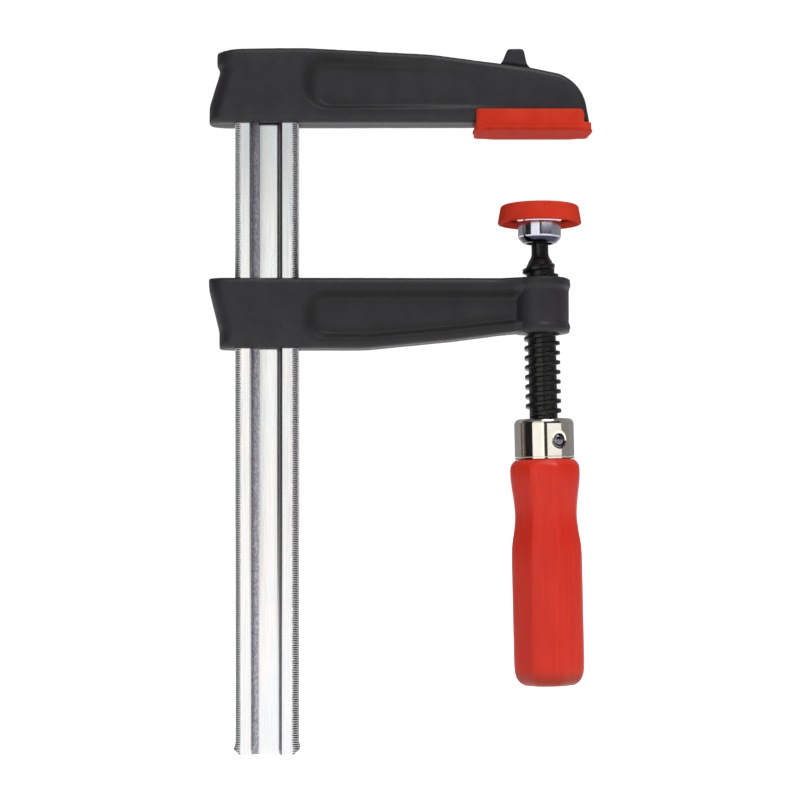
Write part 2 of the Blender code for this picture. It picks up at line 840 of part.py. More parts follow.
def main():
    ball_centre = (-BALL_CENTRE_Z * math.tan(LEAN), 0, BALL_CENTRE_Z)
    arm_origin = empty("sliding_arm_origin", (0, 0, SLIDING_ARM_TOP))
    axis = empty("spindle_axis", ball_centre, (0, -LEAN, 0))
    pivot = empty("plate_pivot", ball_centre)
    rail()
    fixed_arm()
    fixed_arm_cap()
    sliding_arm(arm_origin, axis)
    spindle(axis)
    snap_ring(axis)
    pressure_plate(pivot)
    pressure_plate_cap(pivot)
    ferrule(axis)
    handle(axis)
    handle_pin(axis)


main()
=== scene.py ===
"""The looks of the f clamp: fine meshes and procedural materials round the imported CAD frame.

Shapes are built in millimetres in the frame's axes and scaled to metres when a piece is done.
The spindle and all that turns with it are built upright round the ball's centre and then laid on the axis.
"""

import json
import math

import bmesh
import bpy
import numpy as np
from mathutils import Matrix, Vector

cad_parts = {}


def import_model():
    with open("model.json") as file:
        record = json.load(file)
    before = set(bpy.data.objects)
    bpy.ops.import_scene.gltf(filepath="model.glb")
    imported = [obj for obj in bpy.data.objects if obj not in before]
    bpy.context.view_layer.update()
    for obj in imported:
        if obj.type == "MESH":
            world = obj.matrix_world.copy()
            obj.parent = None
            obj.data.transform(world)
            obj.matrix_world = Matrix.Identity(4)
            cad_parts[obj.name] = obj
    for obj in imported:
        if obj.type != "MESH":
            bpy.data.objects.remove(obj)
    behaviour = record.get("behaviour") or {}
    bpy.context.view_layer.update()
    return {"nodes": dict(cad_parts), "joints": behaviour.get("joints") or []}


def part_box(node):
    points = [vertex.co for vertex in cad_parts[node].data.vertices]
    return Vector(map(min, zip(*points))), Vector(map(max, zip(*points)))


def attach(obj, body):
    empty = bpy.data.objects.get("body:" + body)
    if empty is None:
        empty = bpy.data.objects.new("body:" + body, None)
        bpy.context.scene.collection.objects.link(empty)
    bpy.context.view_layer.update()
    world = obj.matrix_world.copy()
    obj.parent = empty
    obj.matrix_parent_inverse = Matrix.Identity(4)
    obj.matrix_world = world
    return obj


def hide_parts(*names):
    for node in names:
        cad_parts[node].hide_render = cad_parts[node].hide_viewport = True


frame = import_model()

MM = 0.001


def node_box(name):
    """A CAD node's lowest and highest corners in millimetres."""
    low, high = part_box(name)
    return low / MM, high / MM


def joint(name):
    return next(entry for entry in frame["joints"] if entry["name"] == name)


# Places read from the frame
RAIL_LOW, RAIL_HIGH = node_box("rail")
FIXED_LOW, FIXED_HIGH = node_box("fixed_arm")
SLIDE_LOW, SLIDE_HIGH = node_box("sliding_arm")
CAP_LOW, CAP_HIGH = node_box("fixed_arm_cap")
BALL_CENTRE = Vector(joint("handle_turn")["pos_m"]) / MM
AXIS = Vector(joint("handle_turn")["axis"])
ON_AXIS = Matrix.Translation(BALL_CENTRE) @ Vector((0, 0, 1)).rotation_difference(AXIS).to_matrix().to_4x4()
LEVEL = Matrix.Translation(BALL_CENTRE)

# Rail
RAIL_X = (RAIL_LOW.x + RAIL_HIGH.x) / 2
RAIL_HALF_WIDTH = 13.15
RAIL_HALF_DEPTH = RAIL_HIGH.y
RAIL_CORNER = 1.6  # legs of the bevel at the passage's corners
CHANNEL_HALF = 6.25
CHANNEL_DEPTH = 2.8
TOOTH_PITCH = 0.93
TOOTH_SLANT = 0.12  # how far a tooth climbs for each millimetre across the bevelled corner
LEVELS_PER_TOOTH = 6
FIRST_TOOTH = 8.0
SERRATED = (10.6, 11.0)  # where the dull corners begin, from the rail's middle
LEFT_WALL = (-6.3, -6.0, -3.6, -2.9)  # where the channel's walls, duller and painted dark as painted shade and reflection, fade in and out
RIGHT_WALL = (4.8, 6.2, 6.2, 6.5)
STOP_HEIGHT = 3.0
STOP_RUN = 2.2  # over which the upset end swells
STOP_BULGE = 0.5
END_CHAMFER = 2.0
END_INSET = 1.8

# Castings
ARM_TOP = SLIDE_HIGH.z - 0.3  # the boss stands 0.3 proud of the arm
FIXED_BOTTOM = FIXED_LOW.z
HALF_AT_RAIL = 10.0
HALF_AT_NOSE = 8.3
RECESS_DEPTH = 4.0
ARC_POINTS = 12
HEEL_RADIUS = 8.0
FLASH_HALF = 0.55  # the parting line that runs round a casting at Y = 0
FLASH_HEIGHT = 0.2
BOSS_X = 1.4
BOSS_HEIGHT = 22.7
BOSS_RADIUS = 11.2
BOSS_RIM = 11.95
CASTING_VOXEL = 0.42
UNEVENNESS = 0.12
UNEVEN_SIZE = 5.0
WALL_REACH = 3.6  # how far from the middle of a hollow's wall its shade fades out
EDGE_RADIUS = 2.2
CROWN = 1.1  # how far the arms' flat sides fall away towards their edges
CROWN_REACH = 11.0

# Fixed arm's cap
CAP_GAP = 0.3
CAP_BAND = (-26.1, 21.6, 10.6)  # the band's ends and half width
CAP_BAND_CORNER = 2.4
CAP_FLANGE_CORNER = 10.4
CAP_VOXEL = 0.26

# Spindle group, heights from the ball's centre
BALL_RADIUS = 5.2
NECK_RADIUS = 3.5
CORE_RADIUS = 5.8
TANG_RADIUS = 4.8
PITCH = 4.0
CREST_RADIUS = 7.4
CREST_WIDTH = 1.46
FLANK_ANGLE = math.radians(15)
CREST_PHASE = -51.0
THREAD_TOP = -14.6
THREAD_BOTTOM = -77.4
THREAD_PLAY = 0.25
FLANK_PLAY = 0.2
TANG_BOTTOM = -128.0
FERRULE_RADIUS = 12.3
FERRULE_WALL = 1.1
FERRULE_CORNER = 2.2
FERRULE_TOP = -78.4
FERRULE_BOTTOM = -95.1
HANDLE_BOTTOM = -188.6
HANDLE_SIDES = 8
HANDLE_TURN = math.radians(-118)
EDGE_SHARPNESS = 30  # of the handle's long edges
RIVET_HEIGHT = -87.4
RIVET_TURN = math.radians(-63)
RIVET_RADIUS = 2.55
RIVET_SHANK = 1.7
RIVET_HOLE = 2.62
DIMPLE_RADIUS = 3.6
DIMPLE_DEPTH = 0.35


# Mesh helpers


def new_piece(name, vertices, faces):
    mesh = bpy.data.meshes.new(name)
    mesh.from_pydata([tuple(v) for v in vertices], [], faces)
    piece = bpy.data.objects.new(name, mesh)
    bpy.context.scene.collection.objects.link(piece)
    edit = bmesh.new()
    edit.from_mesh(mesh)
    bmesh.ops.recalc_face_normals(edit, faces=edit.faces)
    edit.to_mesh(mesh)
    edit.free()
    return piece


def skin(name, rings, closed=False):
    """A solid through rings of points. It has flat ends, or it closes on itself."""
    count = len(rings[0])
    faces = []
    pairs = [(i, i + 1) for i in range(len(rings) - 1)]
    if closed:
        pairs.append((len(rings) - 1, 0))
    for a, b in pairs:
        for i in range(count):
            j = (i + 1) % count
            faces.append((a * count + i, a * count + j, b * count + j, b * count + i))
    if not closed:
        faces.append(tuple(reversed(range(count))))
        faces.append(tuple(range((len(rings) - 1) * count, len(rings) * count)))
    return new_piece(name, [point for ring in rings for point in ring], faces)


def turned(name, profile, steps, closed=False):
    """A turned solid from (radius, height) points. An open profile ends in flats, a closed one is a ring."""
    turns = [2 * math.pi * i / steps for i in range(steps)]
    rings = [[(r * math.cos(t), r * math.sin(t), z) for t in turns] for r, z in profile if r > 0]
    return skin(name, rings, closed)


def arc(centre, radius, start, end, steps):
    """(radius, height) points along an arc, angles in degrees from straight out."""
    angles = [math.radians(start + (end - start) * i / steps) for i in range(steps + 1)]
    return [(centre[0] + radius * math.cos(a), centre[1] + radius * math.sin(a)) for a in angles]


def rounded_outline(corners):
    """Outline points through corners (x, y, radius), each rounded by an arc of ARC_POINTS chords."""
    points = []
    for i, (x, y, radius) in enumerate(corners):
        corner = Vector((x, y))
        to_last = (Vector(corners[i - 1][:2]) - corner).normalized()
        to_next = (Vector(corners[(i + 1) % len(corners)][:2]) - corner).normalized()
        turn = math.pi - to_last.angle(to_next)
        if radius == 0:
            points.append(corner)
            continue
        centre = corner + (to_last + to_next).normalized() * radius / math.cos(turn / 2)
        spoke = corner + to_last * radius * math.tan(turn / 2) - centre
        left_or_right = math.copysign(1, to_next.cross(to_last))
        for step in range(ARC_POINTS + 1):
            points.append(centre + Matrix.Rotation(left_or_right * turn * step / ARC_POINTS, 2) @ spoke)
    return points


def plate(name, outline, half_thickness):
    """A side outline in X and Z as a solid whose half thickness is a function of X."""
    sides = [[(x, side * half_thickness(x), z) for x, z in outline] for side in (-1, 1)]
    return skin(name, sides)


def box(name, low, high):
    corners = [(low[0], low[1]), (high[0], low[1]), (high[0], high[1]), (low[0], high[1])]
    return skin(name, [[(x, y, z) for x, y in corners] for z in (low[2], high[2])])


def bake(piece):
    """Applies a piece's modifiers."""
    evaluated = piece.evaluated_get(bpy.context.evaluated_depsgraph_get())
    mesh = bpy.data.meshes.new_from_object(evaluated)
    piece.modifiers.clear()
    piece.data = mesh
    return piece


def boolean(piece, other, operation="DIFFERENCE"):
    modifier = piece.modifiers.new("boolean", "BOOLEAN")
    modifier.operation = operation
    modifier.object = other
    bake(piece)
    bpy.data.objects.remove(other)
    return piece


def bevel(piece, width, segments):
    modifier = piece.modifiers.new("bevel", "BEVEL")
    modifier.width = width
    modifier.segments = segments
    modifier.limit_method = "ANGLE"
    modifier.angle_limit = math.radians(40)
    return bake(piece)


def remesh(piece, voxel):
    modifier = piece.modifiers.new("remesh", "REMESH")
    modifier.mode = "VOXEL"
    modifier.voxel_size = voxel
    return bake(piece)


def smooth(piece, iterations):
    modifier = piece.modifiers.new("smooth", "SMOOTH")
    modifier.factor = 0.6
    modifier.iterations = iterations
    return bake(piece)


def coordinates(piece):
    points = np.zeros(len(piece.data.vertices) * 3)
    piece.data.vertices.foreach_get("co", points)
    return points.reshape(-1, 3)


def set_coordinates(piece, points):
    piece.data.vertices.foreach_set("co", points.ravel())
    piece.data.update()


def finish_piece(piece, material, slot, body, *nodes, place=None, sharp_angle=32):
    """Lays a piece in its place in metres, gives it its material, and makes it stand for its CAD nodes."""
    if place is not None:
        piece.data.transform(place)
    piece.data.transform(Matrix.Scale(MM, 4))
    piece.data.materials.clear()
    piece.data.materials.append(material)
    piece.data.shade_smooth()
    piece.data.set_sharp_from_angle(angle=math.radians(sharp_angle))
    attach(piece, body)
    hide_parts(*nodes)
    return piece


# Material helpers. Textures are placed by object coordinates, which are metres in the frame's axes.


class Surface:
    """A Principled material and the texture nodes that drive it."""

    def __init__(self, name, roughness, metallic=0.0, **sockets):
        self.material = bpy.data.materials.new(name)
        self.material.use_nodes = True
        self.nodes = self.material.node_tree.nodes
        self.links = self.material.node_tree.links
        self.shader = self.nodes["Principled BSDF"]
        self.shader.inputs["Roughness"].default_value = roughness
        self.shader.inputs["Metallic"].default_value = metallic
        for socket, value in sockets.items():
            self.shader.inputs[socket.replace("_", " ")].default_value = value
        self.place = self.nodes.new("ShaderNodeTexCoord").outputs["Object"]
        self.normal = None

    def node(self, kind, inputs=(), **settings):
        made = self.nodes.new(kind)
        for name, value in settings.items():
            setattr(made, name, value)
        for socket, value in dict(inputs).items():
            if isinstance(value, bpy.types.NodeSocket):
                self.links.new(value, made.inputs[socket])
            else:
                made.inputs[socket].default_value = value
        return made

    def scaled_place(self, size, stretch):
        """Coordinates that count in steps of size millimetres, longer along an axis by its stretch."""
        scale = [1 / (size * MM * s) for s in stretch]
        return self.node("ShaderNodeMapping", {"Vector": self.place, "Scale": scale}).outputs[0]

    def noise(self, size, detail=2.0, stretch=(1, 1, 1)):
        """Noise from 0 to 1 with features about size millimetres across."""
        inputs = {"Vector": self.scaled_place(size, stretch), "Scale": 1.0, "Detail": detail}
        return self.node("ShaderNodeTexNoise", inputs).outputs["Fac"]

    def cells(self, size):
        """Distance to the nearest of points scattered about size millimetres apart."""
        inputs = {"Vector": self.scaled_place(size, (1, 1, 1)), "Scale": 1.0}
        return self.node("ShaderNodeTexVoronoi", inputs).outputs["Distance"]

    def remap(self, value, from_low, from_high, to_low, to_high):
        """Carries one range over to another and holds the value at the second one's ends."""
        inputs = {"Value": value, 1: from_low, 2: from_high, 3: to_low, 4: to_high}
        return self.node("ShaderNodeMapRange", inputs).outputs[0]

    def band(self, value, rise_from, rise_to, fall_from, fall_to):
        """1 inside a band of values and 0 outside it, with soft edges."""
        rise = self.remap(value, rise_from, rise_to, 0, 1)
        return self.math("MULTIPLY", rise, self.remap(value, fall_from, fall_to, 1, 0))

    def mix(self, factor, first, second):
        """Blends colours (or a colour output) by a factor."""
        node = self.node("ShaderNodeMix", {0: factor}, data_type="RGBA")
        for index, colour in ((6, first), (7, second)):
            if isinstance(colour, bpy.types.NodeSocket):
                self.links.new(colour, node.inputs[index])
            else:
                node.inputs[index].default_value = (*colour, 1.0)
        return node.outputs[2]

    def colour(self, output):
        self.links.new(output, self.shader.inputs["Base Color"])

    def roughness(self, output):
        self.links.new(output, self.shader.inputs["Roughness"])

    def bump(self, height, distance):
        """Adds relief of distance millimetres."""
        inputs = {"Height": height, "Distance": distance * MM, "Strength": 1.0}
        if self.normal is not None:
            inputs["Normal"] = self.normal
        self.normal = self.node("ShaderNodeBump", inputs).outputs[0]
        self.links.new(self.normal, self.shader.inputs["Normal"])

    def axis_value(self, axis):
        """The place along X, Y or Z (0, 1 or 2), in metres."""
        return self.node("ShaderNodeSeparateXYZ", {0: self.place}).outputs[axis]

    def math(self, operation, first, second=0.0):
        """A Math node's result."""
        return self.node("ShaderNodeMath", {0: first, 1: second}, operation=operation).outputs[0]


def painted_casting():
    """Satin black paint over a cast grain, with painted shade on the hollows' walls."""
    look = Surface("painted_casting", 0.47, Specular_IOR_Level=0.3)
    broad = look.noise(9.0, 3.0)
    grain = look.noise(0.55, 4.0)
    base = look.mix(look.remap(broad, 0.3, 0.7, 0, 1), (0.0165, 0.0150, 0.0170), (0.0235, 0.0215, 0.0240))
    specks = look.remap(look.cells(3.2), 0.0, 0.05, 1, 0)
    speckled = look.mix(specks, base, (0.10, 0.10, 0.10))
    # The hollows' walls are painted darker, which is painted shade, and made rougher.
    painted_wall_shade = look.node("ShaderNodeAttribute", attribute_name="painted_wall_shade").outputs["Fac"]
    look.colour(look.mix(look.math("MULTIPLY", painted_wall_shade, 0.6), speckled, (0.006, 0.0055, 0.006)))
    dull = look.math("MULTIPLY", painted_wall_shade, 0.12)
    look.roughness(look.math("ADD", dull, look.remap(grain, 0.3, 0.7, 0.38, 0.56)))
    look.bump(grain, 0.035)
    look.bump(look.noise(2.6, 2.0), 0.10)
    return look.material


def zinc_plate():
    """Bright plating, painted dark under the plate's collar as a painted reflection of the dark neck."""
    look = Surface("zinc_plated_steel", 0.15, 1.0)
    drawn = look.noise(0.5, 3.0, (1, 1, 30))
    cloud = look.noise(14.0, 2.0)
    plating = look.mix(look.remap(cloud, 0.3, 0.7, 0, 1), (0.60, 0.62, 0.72), (0.72, 0.72, 0.80))
    foot = (BALL_CENTRE.z - 2.9) * MM
    # Below the collar's foot the plating is painted dark: a painted reflection of the dark neck.
    painted_neck_reflection = look.remap(look.axis_value(2), foot - 0.6 * MM, foot, 1, 0)
    look.colour(look.mix(painted_neck_reflection, plating, (0.045, 0.045, 0.07)))
    look.roughness(look.remap(drawn, 0.3, 0.7, 0.10, 0.2))
    look.bump(drawn, 0.005)
    return look.material


def rolled_rail():
    """Bright plating on the flats; duller on the channel's walls, which carry painted shade and painted dark
    reflection; dull grey on the serrated corners, with painted shade in the grooves between the teeth.
    """
    look = Surface("rolled_rail", 0.2, 1.0)
    across = look.math("SUBTRACT", look.axis_value(0), RAIL_X * MM)
    out = look.math("ABSOLUTE", across)
    drawn = look.noise(0.45, 3.0, (1, 1, 40))
    mottle = look.noise(0.8, 4.0, (1, 1, 1.6))
    crumble = look.noise(0.5, 2.0)
    tint = look.noise(6.0, 2.0, (1, 1, 4))
    ragged_out = look.math("ADD", out, look.remap(crumble, 0.3, 0.7, -0.00035, 0.00035))
    serrated = look.remap(ragged_out, SERRATED[0] * MM, SERRATED[1] * MM, 0, 1)
    left_wall = look.band(across, *[x * MM for x in LEFT_WALL])
    right_wall = look.band(across, *[x * MM for x in RIGHT_WALL])
    pastel = look.mix(look.remap(tint, 0.35, 0.65, 0, 1), (0.70, 0.72, 0.73), (0.75, 0.725, 0.70))
    flats = look.mix(look.remap(drawn, 0.35, 0.7, 0, 0.6), pastel, (0.66, 0.655, 0.68))
    # The channel's left wall is painted darker than the flats: painted shade and painted reflection.
    walls = look.mix(look.remap(mottle, 0.35, 0.65, 0, 1), (0.25, 0.245, 0.27), (0.50, 0.49, 0.54))
    y = look.math("ABSOLUTE", look.axis_value(1))
    climb = look.math("MULTIPLY", look.math("SUBTRACT", RAIL_HALF_DEPTH * MM, y), TOOTH_SLANT)
    turns = look.math("DIVIDE", look.math("ADD", look.axis_value(2), climb), TOOTH_PITCH * MM)
    ragged = look.math("ADD", turns, look.remap(crumble, 0.3, 0.7, -0.16, 0.16))
    phase = look.math("FLOORED_MODULO", ragged, 1.0)
    # The grooves between the teeth are painted dark, which is painted shade in the creases.
    groove = look.band(phase, 0.36, 0.48, 0.84, 0.98)
    ridges = look.mix(look.remap(mottle, 0.35, 0.65, 0, 1), (0.55, 0.55, 0.56), (0.80, 0.80, 0.82))
    teeth = look.mix(groove, ridges, (0.10, 0.095, 0.10))
    # The channel's right wall is painted nearly black: painted shade and painted reflection.
    faces = look.mix(right_wall, look.mix(left_wall, flats, walls), (0.045, 0.05, 0.045))
    look.colour(look.mix(serrated, faces, teeth))
    dull = look.math("MAXIMUM", serrated, look.math("ADD", left_wall, right_wall))
    rough = look.remap(drawn, 0.3, 0.7, 0.14, 0.2)
    look.roughness(look.math("ADD", rough, look.math("MULTIPLY", dull, 0.24)))
    look.bump(drawn, 0.005)
    look.bump(look.math("MULTIPLY", mottle, dull), 0.12)
    return look.material


def black_oxide():
    look = Surface("black_oxide_steel", 0.3, 0.0, Specular_IOR_Level=0.35)
    grain = look.noise(0.7, 3.0)
    look.colour(look.mix(look.remap(grain, 0.3, 0.7, 0, 1), (0.0045, 0.0042, 0.0042), (0.008, 0.0075, 0.007)))
    look.roughness(look.remap(grain, 0.3, 0.7, 0.18, 0.34))
    look.bump(grain, 0.05)
    return look.material


def rivet_steel():
    look = Surface("rivet_steel", 0.16, 1.0)
    wear_and_painted_shade = look.noise(1.1, 3.0)
    look.colour(look.mix(look.remap(wear_and_painted_shade, 0.3, 0.7, 0, 1), (0.05, 0.045, 0.06), (0.26, 0.24, 0.28)))
    look.roughness(look.remap(wear_and_painted_shade, 0.3, 0.7, 0.12, 0.24))
    look.bump(wear_and_painted_shade, 0.03)
    return look.material


def polished_nickel():
    look = Surface("polished_nickel", 0.06, 1.0)
    haze = look.noise(4.0, 3.0)
    fine = look.noise(0.3, 2.0, (1, 1, 12))
    look.colour(look.mix(look.remap(haze, 0.3, 0.7, 0, 1), (0.74, 0.705, 0.63), (0.80, 0.765, 0.69)))
    look.roughness(look.remap(fine, 0.3, 0.7, 0.045, 0.1))
    look.bump(haze, 0.008)
    return look.material


def red_plastic():
    look = Surface("red_plastic", 0.42, Specular_IOR_Level=0.004)
    flow = look.noise(7.0, 2.0)
    grain = look.noise(0.25, 2.0)
    look.colour(look.mix(look.remap(flow, 0.3, 0.7, 0, 1), (0.52, 0.032, 0.016), (0.59, 0.043, 0.021)))
    look.roughness(look.remap(grain, 0.3, 0.7, 0.36, 0.48))
    look.bump(grain, 0.008)
    look.bump(flow, 0.04)
    return look.material


def red_lacquer():
    look = Surface("red_lacquered_wood", 0.4, Specular_IOR_Level=0.25, Coat_Weight=0.1, Coat_Roughness=0.25)
    figure = look.noise(1.6, 3.0, (1, 1, 22))
    cloud = look.noise(18.0, 2.0)
    pale = look.mix(look.remap(cloud, 0.3, 0.7, 0, 1), (0.64, 0.022, 0.007), (0.69, 0.028, 0.009))
    grained = look.mix(look.remap(figure, 0.35, 0.65, 0, 0.5), pale, (0.56, 0.016, 0.005))
    foot = (BALL_CENTRE.z + HANDLE_BOTTOM) * MM
    # The handle is painted darker just above its foot: painted shade where the end rounds off.
    wear_and_painted_shade = look.remap(look.axis_value(2), foot + 2.5 * MM, foot + 7.0 * MM, 1, 0)
    look.colour(look.mix(wear_and_painted_shade, grained, (0.36, 0.024, 0.006)))
    look.roughness(look.remap(figure, 0.3, 0.7, 0.34, 0.48))
    look.bump(figure, 0.03)
    look.bump(look.noise(3.0, 1.0), 0.03)
    return look.material


def spring_wire():
    look = Surface("spring_wire", 0.3, 1.0)
    drawn = look.noise(0.2, 2.0)
    look.colour(look.mix(drawn, (0.30, 0.29, 0.28), (0.42, 0.41, 0.40)))
    look.roughness(look.remap(drawn, 0.3, 0.7, 0.25, 0.45))
    return look.material


# Rail


def rail_section():
    """The section's front from the +X edge to the -X edge: x, y, and how far a groove cuts in along both."""
    depth = RAIL_HALF_DEPTH
    edge = RAIL_HALF_WIDTH
    channel = CHANNEL_HALF
    quarter = [
        (edge, -1.4, 0.15, 0.0),
        (edge, -2.7, 0.35, 0.0),
        (edge, -3.5, 0.5, 0.1),
        (edge - 0.15, -4.3, 0.7, 0.3),
        (edge - 0.6, -5.0, 0.9, 0.45),
        (edge - 1.15, -5.7, 1.0, 0.35),
        (edge - 1.45, 0.06 - depth, 0.95, 0.1),
        (edge - 2.5, -depth, 0.0, 0.0),
        (edge - 2.62, -depth, 0.0, 0.0),
        (channel + 0.8, -depth, 0.0, 0.0),
        (channel + 0.6, -depth, 0.0, 0.0),
        (channel + 0.4, 0.03 - depth, 0.0, 0.0),
        (channel + 0.15, 0.2 - depth, 0.0, 0.0),
        (channel - 0.02, 0.5 - depth, 0.0, 0.0),
        (channel - 0.45, -4.75, 0.0, 0.0),
        (channel - 0.85, -4.15, 0.0, 0.0),
        (channel - 1.45, -3.7, 0.0, 0.0),
        (channel - 2.1, -3.4, 0.0, 0.0),
        (channel - 2.8, -3.24, 0.0, 0.0),
        (channel - 3.4, CHANNEL_DEPTH - depth, 0.0, 0.0),
    ]
    return quarter + [(-x, y, -cut_x, cut_y) for x, y, cut_x, cut_y in reversed(quarter)]


def groove_depth(height, y):
    """How deep the serration is at a height, y away from the middle plane: from 0 on a crest to 1."""
    phase = (height + TOOTH_SLANT * (RAIL_HALF_DEPTH - abs(y))) / TOOTH_PITCH % 1
    return float(np.interp(phase, [0.0, 0.36, 0.5, 0.8, 1.0], [0.0, 0.0, 1.0, 1.0, 0.0]))


def rail(material):
    chamfer = RAIL_LOW.z + END_CHAMFER
    step = TOOTH_PITCH / LEVELS_PER_TOOTH
    count = int((FIRST_TOOTH - chamfer - 0.5) / step)
    heights = [RAIL_HIGH.z] + [FIRST_TOOTH - step * i for i in range(count)] + [chamfer]
    half = rail_section()
    section = half + [(-x, -y, -cut_x, -cut_y) for x, y, cut_x, cut_y in half]
    rings = []
    for height in heights:
        toothed = chamfer + 0.5 < height < FIRST_TOOTH
        bulge = STOP_BULGE * max(0.0, min(1.0, (chamfer + STOP_HEIGHT - height) / STOP_RUN))
        ring = []
        for x, y, cut_x, cut_y in section:
            cut = groove_depth(height, y) if toothed else 0.0
            out = math.copysign(bulge, x) if cut_x else 0.0
            ring.append((RAIL_X + x + out - cut * cut_x, y + cut * cut_y, height))
        rings.append(ring)
    limit = RAIL_HALF_WIDTH - END_INSET
    end = [(max(-limit, min(limit, x)), y * 0.97) for x, y, _, _ in section]
    rings.append([(RAIL_X + x, y, RAIL_LOW.z) for x, y in end])
    piece = skin("rail_bar", rings)
    return finish_piece(piece, material, "zinc_plated_steel", "frame", "rail", sharp_angle=40)


def rail_passage(name, play, bottom, top):
    """The rail's outline with its bevelled corners and some play, as a cutter."""
    x, y = RAIL_HALF_WIDTH + play, RAIL_HALF_DEPTH + play
    quarter = [(x, y - RAIL_CORNER), (x - RAIL_CORNER, y)]
    upper = quarter + [(-a, b) for a, b in reversed(quarter)]
    outline = upper + [(-a, -b) for a, b in upper]
    return skin(name, [[(RAIL_X + a, b, z) for a, b in outline] for z in (bottom, top)])


# Castings


def arm_half_thickness(x):
    share = (x - SLIDE_LOW.x) / (FIXED_HIGH.x - SLIDE_LOW.x)
    return HALF_AT_RAIL + share * (HALF_AT_NOSE - HALF_AT_RAIL)


def flash_line(outline):
    """The outline as a thin plate a little larger than the casting, for the parting line."""
    centre = Vector((sum(p[0] for p in outline), sum(p[1] for p in outline))) / len(outline)
    grown = []
    for i, point in enumerate(outline):
        along = (Vector(outline[(i + 1) % len(outline)]) - Vector(outline[i - 1])).normalized()
        outwards = Vector((along.y, -along.x))
        if outwards.dot(Vector(point) - centre) < 0:
            outwards.negate()
        grown.append(Vector(point) + outwards * FLASH_HEIGHT)
    return plate("flash", grown, lambda x: FLASH_HALF)


def distance_inside(points, outline):
    """Distance of (x, z) points to the nearest side of an outline."""
    nearest = np.full(len(points), np.inf)
    for start, end in zip(outline, outline[1:] + outline[:1]):
        start, end = np.array(start), np.array(end)
        side = end - start
        share = np.clip((points - start) @ side / (side @ side), 0, 1)
        nearest = np.minimum(nearest, np.linalg.norm(points - start - share[:, None] * side, axis=1))
    return nearest


def soften_sides(piece, outline, end=None):
    """Rounds the long edges and crowns the flat sides of a casting. Past the X called end it does nothing."""
    points = coordinates(piece)
    inside = distance_inside(points[:, [0, 2]], outline)
    half = arm_half_thickness(points[:, 0])
    to_edge = np.clip(EDGE_RADIUS - inside, 0, EDGE_RADIUS)
    rounding = EDGE_RADIUS - np.sqrt(EDGE_RADIUS**2 - to_edge**2)
    crown = CROWN * np.clip(1 - inside / CROWN_REACH, 0, 1) ** 2.5
    shrink = 1 - (rounding + crown) / half
    if end is not None:
        weight = np.clip((end - points[:, 0]) / 6, 0, 1)
        shrink = 1 + weight * (shrink - 1)
    points[:, 1] *= shrink
    set_coordinates(piece, points)
    return piece


def round_heel(piece):
    """Draws the sides in towards the heel, so that the casting's end is round seen from above."""
    points = coordinates(piece)
    heights = np.round(points[:, 2] / 0.5).astype(int)
    heights -= heights.min()
    heel = np.full(heights.max() + 1, np.inf)
    np.minimum.at(heel, heights, points[:, 0])
    inwards = np.clip(points[:, 0] - heel[heights], 0, HEEL_RADIUS)
    half = arm_half_thickness(points[:, 0])
    rounded = half - HEEL_RADIUS + np.sqrt(HEEL_RADIUS**2 - (HEEL_RADIUS - inwards) ** 2)
    points[:, 1] *= np.clip(rounded / half, 0.05, 1)
    set_coordinates(piece, points)
    return piece


def uneven(piece):
    """Lets a cast surface rise and fall gently."""
    texture = bpy.data.textures.new("cast_surface", "CLOUDS")
    texture.noise_scale = UNEVEN_SIZE
    texture.noise_depth = 2
    modifier = piece.modifiers.new("uneven", "DISPLACE")
    modifier.texture = texture
    modifier.strength = UNEVENNESS
    modifier.mid_level = 0.6
    return bake(piece)


def hollow(lip_corners, floor_corners, depth):
    """Cutters for the hollow in both sides. Its walls fall in an S from a rounded lip to the floor."""
    lip = rounded_outline(lip_corners)
    floor = rounded_outline(floor_corners)
    steps = 10
    made = []
    for side in (-1, 1):
        rings = [[(x, side * (HALF_AT_RAIL + 4), z) for x, z in lip]]
        for step in range(steps + 1):
            share = (step / steps) ** 1.5
            fall = share * share * (3 - 2 * share)
            ring = []
            for (lip_x, lip_z), (floor_x, floor_z) in zip(lip, floor):
                x = lip_x + (floor_x - lip_x) * share
                z = lip_z + (floor_z - lip_z) * share
                ring.append((x, side * (arm_half_thickness(x) - fall * depth(floor_x)), z))
            rings.append(ring)
        made.append(skin("hollow", rings))
    return made


def mark_painted_wall_shade(piece, lip_corners, floor_corners, weight):
    """Marks where a hollow's sides fall to its floor, for the material to paint shade there as if less light
    reached it. The weight depends on X.
    """
    middle = [tuple((np.array(lip) + floor) / 2) for lip, floor in zip(lip_corners, floor_corners)]
    points = coordinates(piece)
    near = distance_inside(points[:, [0, 2]], rounded_outline(middle))
    values = np.clip(1.3 - near / WALL_REACH, 0, 1) * weight(points[:, 0])
    piece.data.attributes.new("painted_wall_shade", "FLOAT", "POINT").data.foreach_set("value", values)


